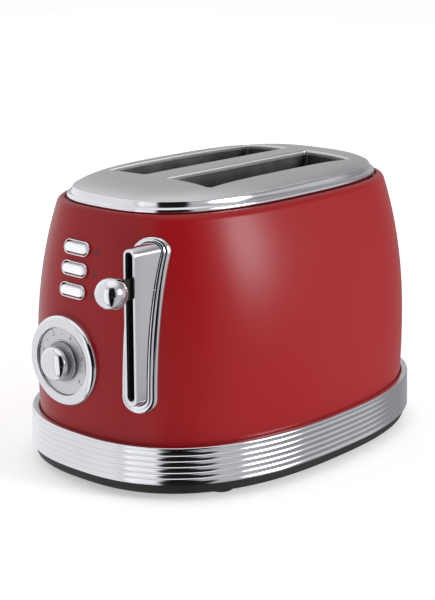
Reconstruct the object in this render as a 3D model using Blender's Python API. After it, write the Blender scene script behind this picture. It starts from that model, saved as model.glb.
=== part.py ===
"""A pop up toaster with two bread slots, as the separate pieces that it is put together from.

Metres, +Z up. The origin is on the surface that the toaster stands on, under the middle of its box. The long
side runs along X, with the lever, the dial and the buttons at -X and the cord's gland and the crumb tray's pull
at +X. "Left" is the -Y side and "right" is the +Y side.
"""

import math

import bmesh
import bpy
from mathutils import Vector

MM = 0.001
GAP = 0.3 * MM  # the least clearance between two pieces

# Heights of the main pieces
FOOT_HEIGHT = 4.0 * MM
PAN_FLOOR = 2.0 * MM
BAND_BOTTOM = 10.6 * MM
BAND_TOP = 34.3 * MM
SHELL_TOP = 171.4 * MM
SHELL_LIP = 169.2 * MM
PLATE_EDGE = 178.6 * MM
PLATE_CROWN = 6.4 * MM

# Outlines: half length, half width and the exponent of the superellipse
BAND_OUTLINE = (140.6 * MM, 99.5 * MM, 2.5)
BAND_TAPER = 0.6 * MM
SHELL_FOOT_OUTLINE = (135.5 * MM, 94.5 * MM, 2.465)
SHELL_TOP_OUTLINE = (118.0 * MM, 70.4 * MM, 2.8)
PLATE_OUTLINE = (111.8 * MM, 63.2 * MM, 2.8)
SECTION_POINTS = 48

# The shell draws in slowly as it rises, then rolls over at the shoulder
TAPER_SHARE = 0.866
TAPER_POWER = 2.554
SHOULDER_START = 0.975
SHELL_SHEET = 1.0 * MM
HEM_WIDTH = 0.9 * MM
SHELL_LEVELS = (34.3, 60.0, 85.0, 106.0, 124.0, 140.0, 153.0, 161.0, 165.5, 168.0, 169.8, 170.9, 171.4)

# The plate is nearly flat and rolls down close to its edge
CROWN_POWER = 8

# Bread slots
SLOT_FRONT = -68.8 * MM
SLOT_REAR = 72.8 * MM
SLOT_NEAR = 8.4 * MM
SLOT_FAR = 45.3 * MM
SLOT_MIDDLE = (SLOT_NEAR + SLOT_FAR) / 2
COLLAR_SHEET = 0.8 * MM
COLLAR_BOTTOM = 171.8 * MM

# Lever, its slot and the carriage that it moves
LEVER_Y = -42.5 * MM
LEVER_Z = 132.0 * MM
KNOB_X = -150.0 * MM
KNOB_RADIUS = 9.75 * MM
ARM_THICKNESS = 3.0 * MM
ARM_HEIGHT = 12.4 * MM
LEVER_SLOT_LOW = 63.2 * MM
LEVER_SLOT_HIGH = 153.8 * MM
LEVER_SLOT_WIDTH = 5.7 * MM
TOWER_FACE = (9.4 * MM, 95.8 * MM, 107.8 * MM)  # width, height and the height of its middle
TOWER_FOOT = (13.6 * MM, 100.0 * MM, 107.4 * MM)
FLANGE = (19.5 * MM, 106.0 * MM, 106.9 * MM)
CARRIAGE_X = -93.5 * MM
GUIDE_X = -86.0 * MM
CARRIAGE_DROP = 58.0 * MM
CARRIAGE_LIFT = 13.0 * MM

# Browning dial
DIAL_Y = 14.5 * MM
DIAL_Z = 77.0 * MM
DIAL_FRONT = -139.0 * MM

# Buttons, from the top one down
BUTTON_Y = 10.2 * MM
BUTTON_LEVELS = (147.3 * MM, 134.6 * MM, 121.4 * MM)
BUTTON_SIZE = (20.0 * MM, 6.3 * MM)
BUTTON_HOLE = (20.7 * MM, 7.0 * MM)
BUTTON_BEZEL = (23.0 * MM, 9.2 * MM)
BUTTON_BACK = -118.2 * MM

# Toasting chamber
CHAMBER_HALF = 75.2 * MM
SHEET = 1.0 * MM
CHASSIS_TOP = 166.0 * MM
CHASSIS_HALF_WIDTH = 58.0 * MM
TRAY_HALF_WIDTH = 52.6 * MM
TRAY_TOP = 10.0 * MM
GUARD_PIVOT_Z = 44.0 * MM
GUARD_TOP = 165.0 * MM

# The origin is under the middle of the box, which runs from the ball's front to the band's back
MIDDLE_SHIFT = (KNOB_RADIUS - KNOB_X - BAND_OUTLINE[0]) / 2


def clear_scene():
    for item in list(bpy.data.objects):
        bpy.data.objects.remove(item, do_unlink=True)


def finish(name, colour, roughness, metallic):
    """A Principled material of one finish."""
    made = bpy.data.materials.new(name)
    made.use_nodes = True
    shader = made.node_tree.nodes["Principled BSDF"]
    shader.inputs["Base Color"].default_value = (*colour, 1.0)
    shader.inputs["Roughness"].default_value = roughness
    shader.inputs["Metallic"].default_value = metallic
    made.diffuse_color = (*colour, 1.0)
    return made


FINISHES = {
    "red_enamel": ((0.36, 0.018, 0.022), 0.35, 0.0),
    "bright_chrome": ((0.78, 0.79, 0.82), 0.08, 1.0),
    "satin_steel": ((0.60, 0.60, 0.60), 0.35, 1.0),
    "chamber_sheet": ((0.42, 0.41, 0.40), 0.4, 1.0),
    "wire": ((0.55, 0.54, 0.52), 0.3, 1.0),
    "mica": ((0.62, 0.58, 0.50), 0.6, 0.0),
    "ribbon": ((0.30, 0.27, 0.25), 0.45, 1.0),
    "black_plastic": ((0.015, 0.015, 0.016), 0.45, 0.0),
    "rubber": ((0.02, 0.02, 0.02), 0.8, 0.0),
    "lens": ((0.85, 0.86, 0.88), 0.25, 0.0),
    "circuit_board": ((0.03, 0.16, 0.07), 0.5, 0.0),
    "copper_winding": ((0.60, 0.28, 0.12), 0.35, 1.0),
    "zinc": ((0.52, 0.53, 0.54), 0.35, 1.0),
}


def ellipse_ring(outline, z, grow=0.0, count=SECTION_POINTS):
    """Points round a superellipse at height z, its outline grown by a distance."""
    half_length, half_width, power = outline
    ring = []
    for step in range(count):
        angle = 2 * math.pi * (step + 0.5) / count
        c, s = math.cos(angle), math.sin(angle)
        x = math.copysign(abs(c) ** (2 / power), c) * (half_length + grow)
        y = math.copysign(abs(s) ** (2 / power), s) * (half_width + grow)
        ring.append(Vector((x, y, z)))
    return ring


def blend(low, high, share):
    return tuple(a + (b - a) * share for a, b in zip(low, high))


def shell_outline(z):
    """The red shell's outer outline at a height."""
    rise = min(max((z - BAND_TOP) / (SHELL_TOP - BAND_TOP), 0.0), 1.0)
    roll = min(max((rise - SHOULDER_START) / (1 - SHOULDER_START), 0.0), 1.0)
    draw = TAPER_SHARE * rise**TAPER_POWER + (1 - TAPER_SHARE) * (1 - math.sqrt(1 - roll * roll))
    length, width, _ = blend(SHELL_FOOT_OUTLINE, SHELL_TOP_OUTLINE, draw)
    _, _, power = blend(SHELL_FOOT_OUTLINE, SHELL_TOP_OUTLINE, rise)
    return length, width, power


def pill(width, height, centre, arc=6):
    """Outline with round ends, as (u, v) points, its size along u and v. The round ends are the short ones."""
    radius = min(width, height) / 2
    reach_u, reach_v = width / 2 - radius, height / 2 - radius
    points = []
    for turn in range(2):
        for step in range(arc + 1):
            start = -math.pi / 2 if width > height else 0.0
            angle = start + math.pi * (turn + step / arc)
            side = 1 if turn == 0 else -1
            u = centre[0] + side * reach_u + radius * math.cos(angle)
            v = centre[1] + side * reach_v + radius * math.sin(angle)
            points.append((u, v))
    return points


def rectangle(low, high):
    return [(low[0], low[1]), (high[0], low[1]), (high[0], high[1]), (low[0], high[1])]


def circle(radius, centre, count=20):
    turn = 2 * math.pi / count
    return [
        (centre[0] + radius * math.cos(turn * i), centre[1] + radius * math.sin(turn * i)) for i in range(count)
    ]


def on_plane(points, axis, level):
    """The (u, v) points as vectors on the plane where the axis's coordinate is the level."""
    place = {
        "X": lambda u, v: Vector((level, u, v)),
        "Y": lambda u, v: Vector((u, level, v)),
        "Z": lambda u, v: Vector((u, v, level)),
    }[axis]
    return [place(u, v) for u, v in points]


class Workshop:
    """Makes the objects, and keeps the materials and the empties that they hang from."""

    def __init__(self):
        self.finishes = {name: finish(name, *values) for name, values in FINISHES.items()}
        self.root = self.empty("toaster", Vector((MIDDLE_SHIFT, 0, 0)), None)

    def empty(self, name, place, parent):
        made = bpy.data.objects.new(name, None)
        made.empty_display_size = 0.02
        made.location = place
        made.parent = parent
        bpy.context.scene.collection.objects.link(made)
        return made

    def joint(self, name, place):
        """An empty on a joint's axis, for the pieces that move there."""
        return self.empty(name, Vector(place), self.root)

    def object(self, name, bm, finish_name, parent=None, smooth=False):
        """The mesh as an object with its origin on its parent's, or in its own middle on the fixed housing."""
        bmesh.ops.recalc_face_normals(bm, faces=bm.faces)
        if parent is None:
            corners = [v.co for v in bm.verts]
            origin = sum(corners, Vector()) / len(corners)
            bmesh.ops.translate(bm, verts=bm.verts, vec=-origin)
        else:
            bmesh.ops.translate(bm, verts=bm.verts, vec=-parent.location)
            origin = Vector()
        mesh = bpy.data.meshes.new(name)
        bm.to_mesh(mesh)
        bm.free()
        mesh.materials.append(self.finishes[finish_name])
        if smooth:
            mesh.shade_smooth()
            mesh.set_sharp_from_angle(angle=math.radians(35))
        made = bpy.data.objects.new(name, mesh)
        made.parent = parent or self.root
        made.location = origin
        bpy.context.scene.collection.objects.link(made)
        return made

    def guide(self, name, bm):
        """A helper for Booleans, which is not a piece of the toaster."""
        made = self.object(name, bm, "zinc")
        made.hide_render = True
        made.display_type = "WIRE"
        return made

    def boolean(self, target, other, operation):
        modifier = target.modifiers.new(f"{operation.lower()} {other.name}", "BOOLEAN")
        modifier.operation = operation
        modifier.solver = "EXACT"
        modifier.object = other


def loft(rings, closed=False):
    """A skin over rings of points. A closed one joins its last ring to its first, and an open one is capped."""
    bm = bmesh.new()
    rows = [[bm.verts.new(point) for point in ring] for ring in rings]
    pairs = list(zip(rows, rows[1:]))
    if closed:
        pairs.append((rows[-1], rows[0]))
    for low, high in pairs:
        for i in range(len(low)):
            j = (i + 1) % len(low)
            bm.faces.new((low[i], low[j], high[j], high[i]))
    if not closed:
        bm.faces.new(rows[0])
        bm.faces.new(rows[-1])
    return bm


def prism(points, axis, start, end):
    return loft([on_plane(points, axis, start), on_plane(points, axis, end)])


def tube(outer, inner, axis, start, end):
    """A prism with a hole. Both outlines have the same number of points."""
    rings = [on_plane(outer, axis, start), on_plane(outer, axis, end)]
    rings += [on_plane(inner, axis, end), on_plane(inner, axis, start)]
    return loft(rings, closed=True)


def box(low, high):
    return prism(rectangle(low, high), "Z", low[2], high[2])


def join(parts):
    """Several loose meshes as one, for a guide that cuts in several places."""
    bm = bmesh.new()
    for part in parts:
        mesh = bpy.data.meshes.new("loose")
        part.to_mesh(mesh)
        part.free()
        bm.from_mesh(mesh)
        bpy.data.meshes.remove(mesh)
    return bm


def turned(profile, axis, centre, count=24, closed=False):
    """A piece turned on a lathe: profile is (radius, place along the axis), and centre is the axis's (u, v)."""
    rings = [on_plane(circle(radius, centre, count), axis, level) for radius, level in profile]
    return loft(rings, closed)


def sheet(columns, rows, filled, axis, start, end):
    """A flat sheet cut out of a grid: filled(column, row) says which cells hold metal."""
    bm = bmesh.new()
    corners = {}

    def corner(i, j, level):
        key = (i, j, level)
        if key not in corners:
            corners[key] = bm.verts.new(on_plane([(columns[i], rows[j])], axis, level)[0])
        return corners[key]

    cells = {
        (i, j) for i in range(len(columns) - 1) for j in range(len(rows) - 1) if filled(i, j)
    }
    for i, j in sorted(cells):
        square = ((i, j), (i + 1, j), (i + 1, j + 1), (i, j + 1))
        for level in (start, end):
            bm.faces.new([corner(*spot, level) for spot in square])
        for side, neighbour in enumerate(((i, j - 1), (i + 1, j), (i, j + 1), (i - 1, j))):
            if neighbour not in cells:
                a, b = square[side], square[(side + 1) % 4]
                bm.faces.new((corner(*a, start), corner(*b, start), corner(*b, end), corner(*a, end)))
    return bm


def shell_solid(grow):
    """The space that the red shell encloses, grown by a distance and open to no side."""
    rings = [ellipse_ring(shell_outline(BAND_TOP), 0.0, grow)]
    rings += [ellipse_ring(shell_outline(level * MM), level * MM, grow) for level in SHELL_LEVELS]
    return loft(rings)


def make_base(shop):
    """Black pan with a rim that the shell stands in, the chrome band round it, the feet and the screws."""
    pan_outline = (BAND_OUTLINE[0] - 2.5 * MM, BAND_OUTLINE[1] - 2.5 * MM, BAND_OUTLINE[2])
    bottom = FOOT_HEIGHT
    rim_top = BAND_TOP - 2.1 * MM
    wall = 1.8 * MM
    rings = [
        ellipse_ring(pan_outline, bottom, -1.5 * MM),
        ellipse_ring(pan_outline, bottom + 1.5 * MM),
        ellipse_ring(pan_outline, rim_top),
        ellipse_ring(pan_outline, rim_top, -wall),
        ellipse_ring(pan_outline, bottom + PAN_FLOOR, -wall),
    ]
    pan = shop.object("base_pan", loft(rings), "black_plastic", smooth=True)

    floor_top = bottom + PAN_FLOOR
    cuts = [box((110 * MM, -TRAY_HALF_WIDTH - 0.7 * MM, floor_top + 0.15 * MM),
                (145 * MM, TRAY_HALF_WIDTH + 0.7 * MM, TRAY_TOP + 0.4 * MM))]
    for i in range(5):
        x = (-122 + 8 * i) * MM
        cuts.append(box((x, -26 * MM, 0), (x + 3 * MM, 26 * MM, 20 * MM)))
    screws = [(sx * 58 * MM, sy * 76 * MM) for sx in (-1, 1) for sy in (-1, 1)]
    for place in screws:
        cuts.append(turned([(1.9 * MM, 0), (1.9 * MM, 20 * MM)], "Z", place, 12))
    shop.boolean(pan, shop.guide("base_pan_cuts", join(cuts)), "DIFFERENCE")

    names = ("front_left", "front_right", "rear_left", "rear_right")
    for name, place in zip(names, screws):
        screw = [(2.6, 2.4), (3.1, 2.9), (3.1, 3.7), (1.5, 3.7), (1.5, 16.0)]
        screw = [(r * MM, z * MM) for r, z in screw]
        shop.object(f"base_screw_{name}", turned(screw, "Z", place, 12), "zinc", smooth=True)
        foot = [(7.6, 0.0), (8.4, 0.8), (9.0, 3.7)]
        foot = [(r * MM, z * MM) for r, z in foot]
        spot = (math.copysign(84 * MM, place[0]), math.copysign(68 * MM, place[1]))
        shop.object(f"foot_{name}", turned(foot, "Z", spot, 18), "rubber", smooth=True)

    ribs = 6
    lip = 2.1 * MM
    pitch = (BAND_TOP - BAND_BOTTOM - lip) / ribs
    profile = [(-2.2, BAND_BOTTOM), (-0.8, BAND_BOTTOM)]
    for i in range(ribs):
        profile.append((0.0, BAND_BOTTOM + pitch * (i + 0.5)))
        profile.append((-0.8, BAND_BOTTOM + pitch * (i + 1)))
    profile += [(0.0, BAND_TOP - 1.4 * MM), (-0.7, BAND_TOP), (-4.3, BAND_TOP), (-4.3, BAND_TOP - 0.9 * MM)]
    profile += [(-1.9, BAND_TOP - 1.2 * MM), (-1.9, BAND_BOTTOM + 1.0 * MM), (-2.2, BAND_BOTTOM + 0.9 * MM)]
    rings = []
    for grow, z in profile:
        taper = BAND_TAPER * (z - BAND_BOTTOM) / (BAND_TOP - BAND_BOTTOM)
        rings.append(ellipse_ring(BAND_OUTLINE, z, grow * MM - taper))
    shop.object("base_band", loft(rings, closed=True), "bright_chrome", smooth=True)


def make_shell(shop):
    """The red steel shell: one drawn sheet, open below, its top edge hemmed over a lip that carries the ring."""
    bottom = FOOT_HEIGHT + PAN_FLOOR + GAP
    rings = [ellipse_ring(shell_outline(BAND_TOP), bottom)]
    rings += [ellipse_ring(shell_outline(level * MM), level * MM) for level in SHELL_LEVELS]
    rings.append(ellipse_ring(SHELL_TOP_OUTLINE, SHELL_TOP, -HEM_WIDTH))
    rings.append(ellipse_ring(SHELL_TOP_OUTLINE, SHELL_LIP, -HEM_WIDTH))
    rings.append(ellipse_ring(PLATE_OUTLINE, SHELL_LIP))
    rings.append(ellipse_ring(PLATE_OUTLINE, SHELL_LIP - SHELL_SHEET))
    for level in reversed(SHELL_LEVELS[:-2]):
        z = min(level * MM, SHELL_LIP - SHELL_SHEET)
        rings.append(ellipse_ring(shell_outline(level * MM), z, -SHELL_SHEET))
    rings.append(ellipse_ring(shell_outline(BAND_TOP), bottom, -SHELL_SHEET))
    shell = shop.object("body_shell", loft(rings, closed=True), "red_enamel", smooth=True)

    front, inside = -145 * MM, -105 * MM
    cuts = [prism(pill(*BUTTON_HOLE, (BUTTON_Y, z)), "X", front, inside) for z in BUTTON_LEVELS]
    slot_size = (LEVER_SLOT_WIDTH + 2 * GAP, LEVER_SLOT_HIGH - LEVER_SLOT_LOW + 2 * GAP)
    slot_centre = (LEVER_Y, (LEVER_SLOT_LOW + LEVER_SLOT_HIGH) / 2)
    cuts.append(prism(pill(*slot_size, slot_centre), "X", front, inside))
    cuts.append(prism(circle(4.0 * MM, (DIAL_Y, DIAL_Z), 16), "X", front, inside))
    cuts.append(prism(circle(5.6 * MM, (0, 50 * MM), 20), "X", 125 * MM, 145 * MM))
    cuts.append(box((105 * MM, -TRAY_HALF_WIDTH - 0.7 * MM, 2 * MM),
                    (145 * MM, TRAY_HALF_WIDTH + 0.7 * MM, TRAY_TOP + 0.4 * MM)))
    shop.boolean(shell, shop.guide("shell_cuts", join(cuts)), "DIFFERENCE")


def make_top(shop):
    """Satin top plate, crowned, with a collar turned down round each slot, and the chrome ring round its edge."""
    edge = -0.7 * MM

    def crowned(share, lower):
        grow = edge * share
        outline = tuple(v * share for v in PLATE_OUTLINE[:2]) + (PLATE_OUTLINE[2],)
        return ellipse_ring(outline, PLATE_EDGE + PLATE_CROWN * (1 - share**CROWN_POWER) - lower, grow)

    sheet = 1.2 * MM
    shares = (0.3, 0.6, 0.75, 0.85, 0.92, 0.96, 0.994)
    rings = [crowned(share, sheet) for share in shares]
    rings.append(crowned(1.0, sheet / 2))
    rings += [crowned(share, 0) for share in reversed(shares)]
    plate = shop.object("top_plate", loft(rings), "satin_steel", smooth=True)

    below = ellipse_ring(PLATE_OUTLINE, COLLAR_BOTTOM, edge)
    dome = [below] + [crowned(share, sheet / 2) for share in reversed(shares)]
    dome_guide = shop.guide("plate_dome", loft(dome))
    collars, slots = [], []
    for side in (-1, 1):
        near, far = sorted((side * SLOT_NEAR, side * SLOT_FAR))
        collars.append(box((SLOT_FRONT - COLLAR_SHEET, near - COLLAR_SHEET, COLLAR_BOTTOM - 1 * MM),
                           (SLOT_REAR + COLLAR_SHEET, far + COLLAR_SHEET, 190 * MM)))
        slots.append(box((SLOT_FRONT, near, 160 * MM), (SLOT_REAR, far, 195 * MM)))
    collar_guide = shop.guide("plate_collars", join(collars))
    shop.boolean(collar_guide, dome_guide, "INTERSECT")
    shop.boolean(plate, collar_guide, "UNION")
    shop.boolean(plate, shop.guide("plate_slots", join(slots)), "DIFFERENCE")

    profile = [(0.5, 178.6), (1.0, 178.0), (2.2, 174.9), (3.3, 174.5), (4.2, 173.7), (4.5, 172.6), (4.4, 171.3)]
    profile += [(3.7, 170.1), (3.0, 169.6), (-2.0, 169.6), (-2.0, 176.8), (-0.4, 176.8), (-0.4, 178.6)]
    rings = [ellipse_ring(PLATE_OUTLINE, z * MM, grow * MM) for grow, z in profile]
    shop.object("top_trim_ring", loft(rings, closed=True), "bright_chrome", smooth=True)


def make_lever_surround(shop, skin_gap):
    """Chrome flange that follows the shell, the tall housing on it, and the black liner of its slot."""
    slot_middle = (LEVER_SLOT_LOW + LEVER_SLOT_HIGH) / 2
    slot = pill(LEVER_SLOT_WIDTH, LEVER_SLOT_HIGH - LEVER_SLOT_LOW, (LEVER_Y, slot_middle))

    def upright(size, grow):
        return pill(size[0] + grow, size[1] + grow, (LEVER_Y, size[2]))

    front, back, chamfer = upright(TOWER_FACE, 0), upright(TOWER_FOOT, 0), upright(TOWER_FACE, -1 * MM)
    front_x, back_x = -135.5 * MM, -112.0 * MM
    rings = [on_plane(chamfer, "X", front_x), on_plane(front, "X", front_x + 0.6 * MM)]
    rings += [on_plane(back, "X", back_x), on_plane(slot, "X", back_x), on_plane(slot, "X", front_x)]
    housing = shop.object("lever_housing", loft(rings, closed=True), "bright_chrome", smooth=True)
    shop.boolean(housing, skin_gap, "DIFFERENCE")

    outer = pill(FLANGE[0], FLANGE[1], (LEVER_Y, FLANGE[2]), 8)
    flange = shop.object("lever_flange", prism(outer, "X", -140 * MM, -105 * MM), "bright_chrome", smooth=True)
    shop.boolean(flange, shop.guide("flange_face", shell_solid(2.7 * MM)), "INTERSECT")
    hole = [on_plane(upright(TOWER_FACE, 2 * GAP), "X", front_x), on_plane(upright(TOWER_FOOT, 2 * GAP), "X", back_x)]
    shop.boolean(flange, shop.guide("flange_hole", loft(hole)), "DIFFERENCE")
    shop.boolean(flange, skin_gap, "DIFFERENCE")

    outer = pill(LEVER_SLOT_WIDTH - 2 * GAP, LEVER_SLOT_HIGH - LEVER_SLOT_LOW - 2 * GAP, (LEVER_Y, slot_middle))
    inner = pill(LEVER_SLOT_WIDTH - 1.8 * MM, LEVER_SLOT_HIGH - LEVER_SLOT_LOW - 1.8 * MM, (LEVER_Y, slot_middle))
    shop.object("lever_slot_liner", tube(outer, inner, "X", -134.8 * MM, -106 * MM), "black_plastic", smooth=True)


def make_dial(shop, skin_gap):
    """Chrome bezel and silver plate on the shell, and the knob that turns on the potentiometer's shaft."""
    centre = (DIAL_Y, DIAL_Z)
    profile = [(28.6, -118.0), (28.6, -134.6), (27.6, -136.0), (27.3, -137.4), (26.2, -138.6), (24.4, -139.0)]
    profile += [(22.5, -138.5), (21.6, -137.4), (21.6, -118.0)]
    profile = [(r * MM, x * MM) for r, x in profile]
    bezel = shop.object("dial_bezel", turned(profile, "X", centre, 40, closed=True), "bright_chrome", smooth=True)
    shop.boolean(bezel, skin_gap, "DIFFERENCE")

    profile = [(21.2, -136.7), (21.2, -135.6), (5.0, -135.6), (5.0, -136.7)]
    profile = [(r * MM, x * MM) for r, x in profile]
    shop.object("dial_plate", turned(profile, "X", centre, 40, closed=True), "satin_steel", smooth=True)

    knob_joint = shop.joint("browning_axis", (DIAL_FRONT, DIAL_Y, DIAL_Z))
    profile = [(3.0, -121.5), (3.0, -137.1), (12.6, -137.1), (12.6, -137.8), (11.2, -138.2), (11.2, -138.9)]
    profile += [(9.9, -139.2), (9.9, -142.5)]
    profile = [(r * MM, x * MM) for r, x in profile]
    shop.object("browning_knob", turned(profile, "X", centre, 28), "satin_steel", knob_joint, smooth=True)
    profile = [(10.3, -142.8), (10.5, -144.2)]
    for step in range(1, 5):
        angle = math.radians(90) * step / 5
        profile.append((10.5 * math.cos(angle), -144.2 - 5.6 * math.sin(angle)))
    profile = [(r * MM, x * MM) for r, x in profile]
    shop.object("knob_cap", turned(profile, "X", centre, 28), "bright_chrome", knob_joint, smooth=True)


def make_buttons(shop, skin_gap):
    """Three pill shaped buttons, each in a chrome bezel, and the switch behind each one."""
    bezel_face = shop.guide("button_bezel_face", shell_solid(1.7 * MM))
    button_face = shop.guide("button_face", shell_solid(2.3 * MM))
    for name, z in zip(("top", "middle", "bottom"), BUTTON_LEVELS):
        centre = (BUTTON_Y, z)
        ring = tube(pill(*BUTTON_BEZEL, centre), pill(*BUTTON_HOLE, centre), "X", -140 * MM, -115 * MM)
        bezel = shop.object(f"button_bezel_{name}", ring, "bright_chrome", smooth=True)
        shop.boolean(bezel, bezel_face, "INTERSECT")
        shop.boolean(bezel, skin_gap, "DIFFERENCE")

        slide = shop.joint(f"button_axis_{name}", (BUTTON_BACK, BUTTON_Y, z))
        body = prism(pill(*BUTTON_SIZE, centre), "X", -140 * MM, BUTTON_BACK)
        button = shop.object(f"button_{name}", body, "lens", slide, smooth=True)
        shop.boolean(button, button_face, "INTERSECT")

        plunger = [(1.6, -116.4), (1.6, -115.8), (3.4, -115.8), (3.4, -112.9)]
        plunger = [(r * MM, x * MM) for r, x in plunger]
        shop.object(f"button_switch_{name}", turned(plunger, "X", centre, 8), "black_plastic")


def make_controls(shop):
    """Circuit board behind the front, with the browning potentiometer on it."""
    board = box((-112.6 * MM, -9 * MM, 60 * MM), (-111.0 * MM, 38 * MM, 156 * MM))
    shop.object("control_board", board, "circuit_board")
    body = [(8.2, -121.2), (8.5, -120.4), (8.5, -112.9)]
    body = [(r * MM, x * MM) for r, x in body]
    shop.object("potentiometer", turned(body, "X", (DIAL_Y, DIAL_Z), 20), "zinc", smooth=True)


def make_chassis(shop):
    """End plates of the toasting chamber, its reflectors, the guide rod and the magnet that holds the carriage."""
    floor_top = FOOT_HEIGHT + PAN_FLOOR + GAP
    cuts = [box((-80 * MM, -TRAY_HALF_WIDTH - 0.7 * MM, 0), (80 * MM, TRAY_HALF_WIDTH + 0.7 * MM, TRAY_TOP + 0.6 * MM))]
    for side in (-1, 1):
        middle = side * SLOT_MIDDLE
        cuts.append(box((-80 * MM, middle - 1.1 * MM, 38 * MM), (80 * MM, middle + 1.1 * MM, 123 * MM)))
        for y in (side * 8.5 * MM, side * 45.2 * MM):
            cuts.append(box((-80 * MM, y - 1.4 * MM, GUARD_PIVOT_Z - 1.4 * MM),
                            (80 * MM, y + 1.4 * MM, GUARD_PIVOT_Z + 1.4 * MM)))
    chassis_cuts = shop.guide("chassis_cuts", join(cuts))
    for name, low_x in (("front", -CHAMBER_HALF - SHEET), ("rear", CHAMBER_HALF)):
        plate = box((low_x, -CHASSIS_HALF_WIDTH, floor_top), (low_x + SHEET, CHASSIS_HALF_WIDTH, CHASSIS_TOP))
        made = shop.object(f"chassis_{name}_plate", plate, "chamber_sheet")
        shop.boolean(made, chassis_cuts, "DIFFERENCE")
        if name == "front":
            shelf = box((-95 * MM, -6 * MM, 161 * MM), (-CHAMBER_HALF - SHEET / 2, 22 * MM, 162.2 * MM))
            shop.boolean(made, shop.guide("rod_shelf", shelf), "UNION")

    half = CHAMBER_HALF - GAP
    for side, name in ((-1, "left"), (1, "right")):
        near, far = sorted((side * 56.4 * MM, side * 57.2 * MM))
        reflector = box((-half, near, 12 * MM), (half, far, CHASSIS_TOP))
        shop.object(f"side_reflector_{name}", reflector, "chamber_sheet")

    rod = [(2.5 * MM, floor_top), (2.5 * MM, 160.7 * MM)]
    shop.object("guide_rod", turned(rod, "Z", (GUIDE_X, 0), 14), "bright_chrome", smooth=True)
    magnet = [(9.0, 6.3), (9.0, 8.0), (6.8, 8.0), (6.8, 30.0), (9.0, 30.0), (9.0, 31.6), (3.5, 31.6), (3.5, 34.0)]
    magnet = [(r * MM, z * MM) for r, z in magnet]
    made = turned(magnet, "Z", (GUIDE_X, -18 * MM), 16)
    shop.object("electromagnet", made, "copper_winding", smooth=True)


def make_heaters(shop):
    """Mica boards beside each slot, and the resistance ribbon that runs to and fro on each one."""
    half = CHAMBER_HALF - 1.2 * MM
    low, high = 50 * MM, 160 * MM
    runs = 7
    ribbon = 2.2 * MM
    pitch = (high - low - 16 * MM - ribbon) / (runs - 1)
    rows = []
    for i in range(runs):
        rows += [low + 8 * MM + pitch * i, low + 8 * MM + pitch * i + ribbon]
    columns = [-66 * MM, -64 * MM, 64 * MM, 66 * MM]

    def path(column, row):
        """Every run, and the turn at one end of each gap between runs."""
        return row % 2 == 0 or column == (0 if row % 4 == 1 else 2)

    places = (("outer_left", -1, 51.6), ("inner_left", -1, 2.8), ("inner_right", 1, 2.8), ("outer_right", 1, 51.6))
    for name, side, offset in places:
        board_near, board_far = sorted((side * offset * MM, side * (offset - 0.8) * MM))
        board = box((-half, board_near, low), (half, board_far, high))
        shop.object(f"heater_board_{name}", board, "mica")
        face = offset - 1.1 if offset > 20 else offset + 0.3
        ribbon_face = face - 0.6 if offset > 20 else face + 0.6
        strip = sheet(columns, rows, path, "Y", side * face * MM, side * ribbon_face * MM)
        shop.object(f"heater_ribbon_{name}", strip, "ribbon")


def make_guards(shop):
    """Wire guards that keep the bread off the ribbons. Each one leans in from its bottom wire as the bread goes down."""
    wires = 7
    wire = 1.4 * MM
    reach = 66 * MM
    columns = [-77.6 * MM]
    for i in range(wires):
        x = -reach + 2 * reach * i / (wires - 1)
        columns += [x - wire / 2, x + wire / 2]
    columns.append(77.6 * MM)
    rows = [GUARD_PIVOT_Z - wire / 2, GUARD_PIVOT_Z + wire / 2, GUARD_TOP - wire, GUARD_TOP]

    def grid(column, row):
        """The long bottom wire, the top wire between the outer uprights, and the uprights."""
        return row == 0 or (row == 2 and 0 < column < len(columns) - 2) or (row == 1 and column % 2 == 1)

    for name, y in (("left_outer", -45.2), ("left_inner", -8.5), ("right_inner", 8.5), ("right_outer", 45.2)):
        pivot = shop.joint(f"guard_axis_{name}", (0, y * MM, GUARD_PIVOT_Z))
        made = sheet(columns, rows, grid, "Y", y * MM - wire / 2, y * MM + wire / 2)
        shop.object(f"bread_guard_{name}", made, "wire", pivot)


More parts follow.
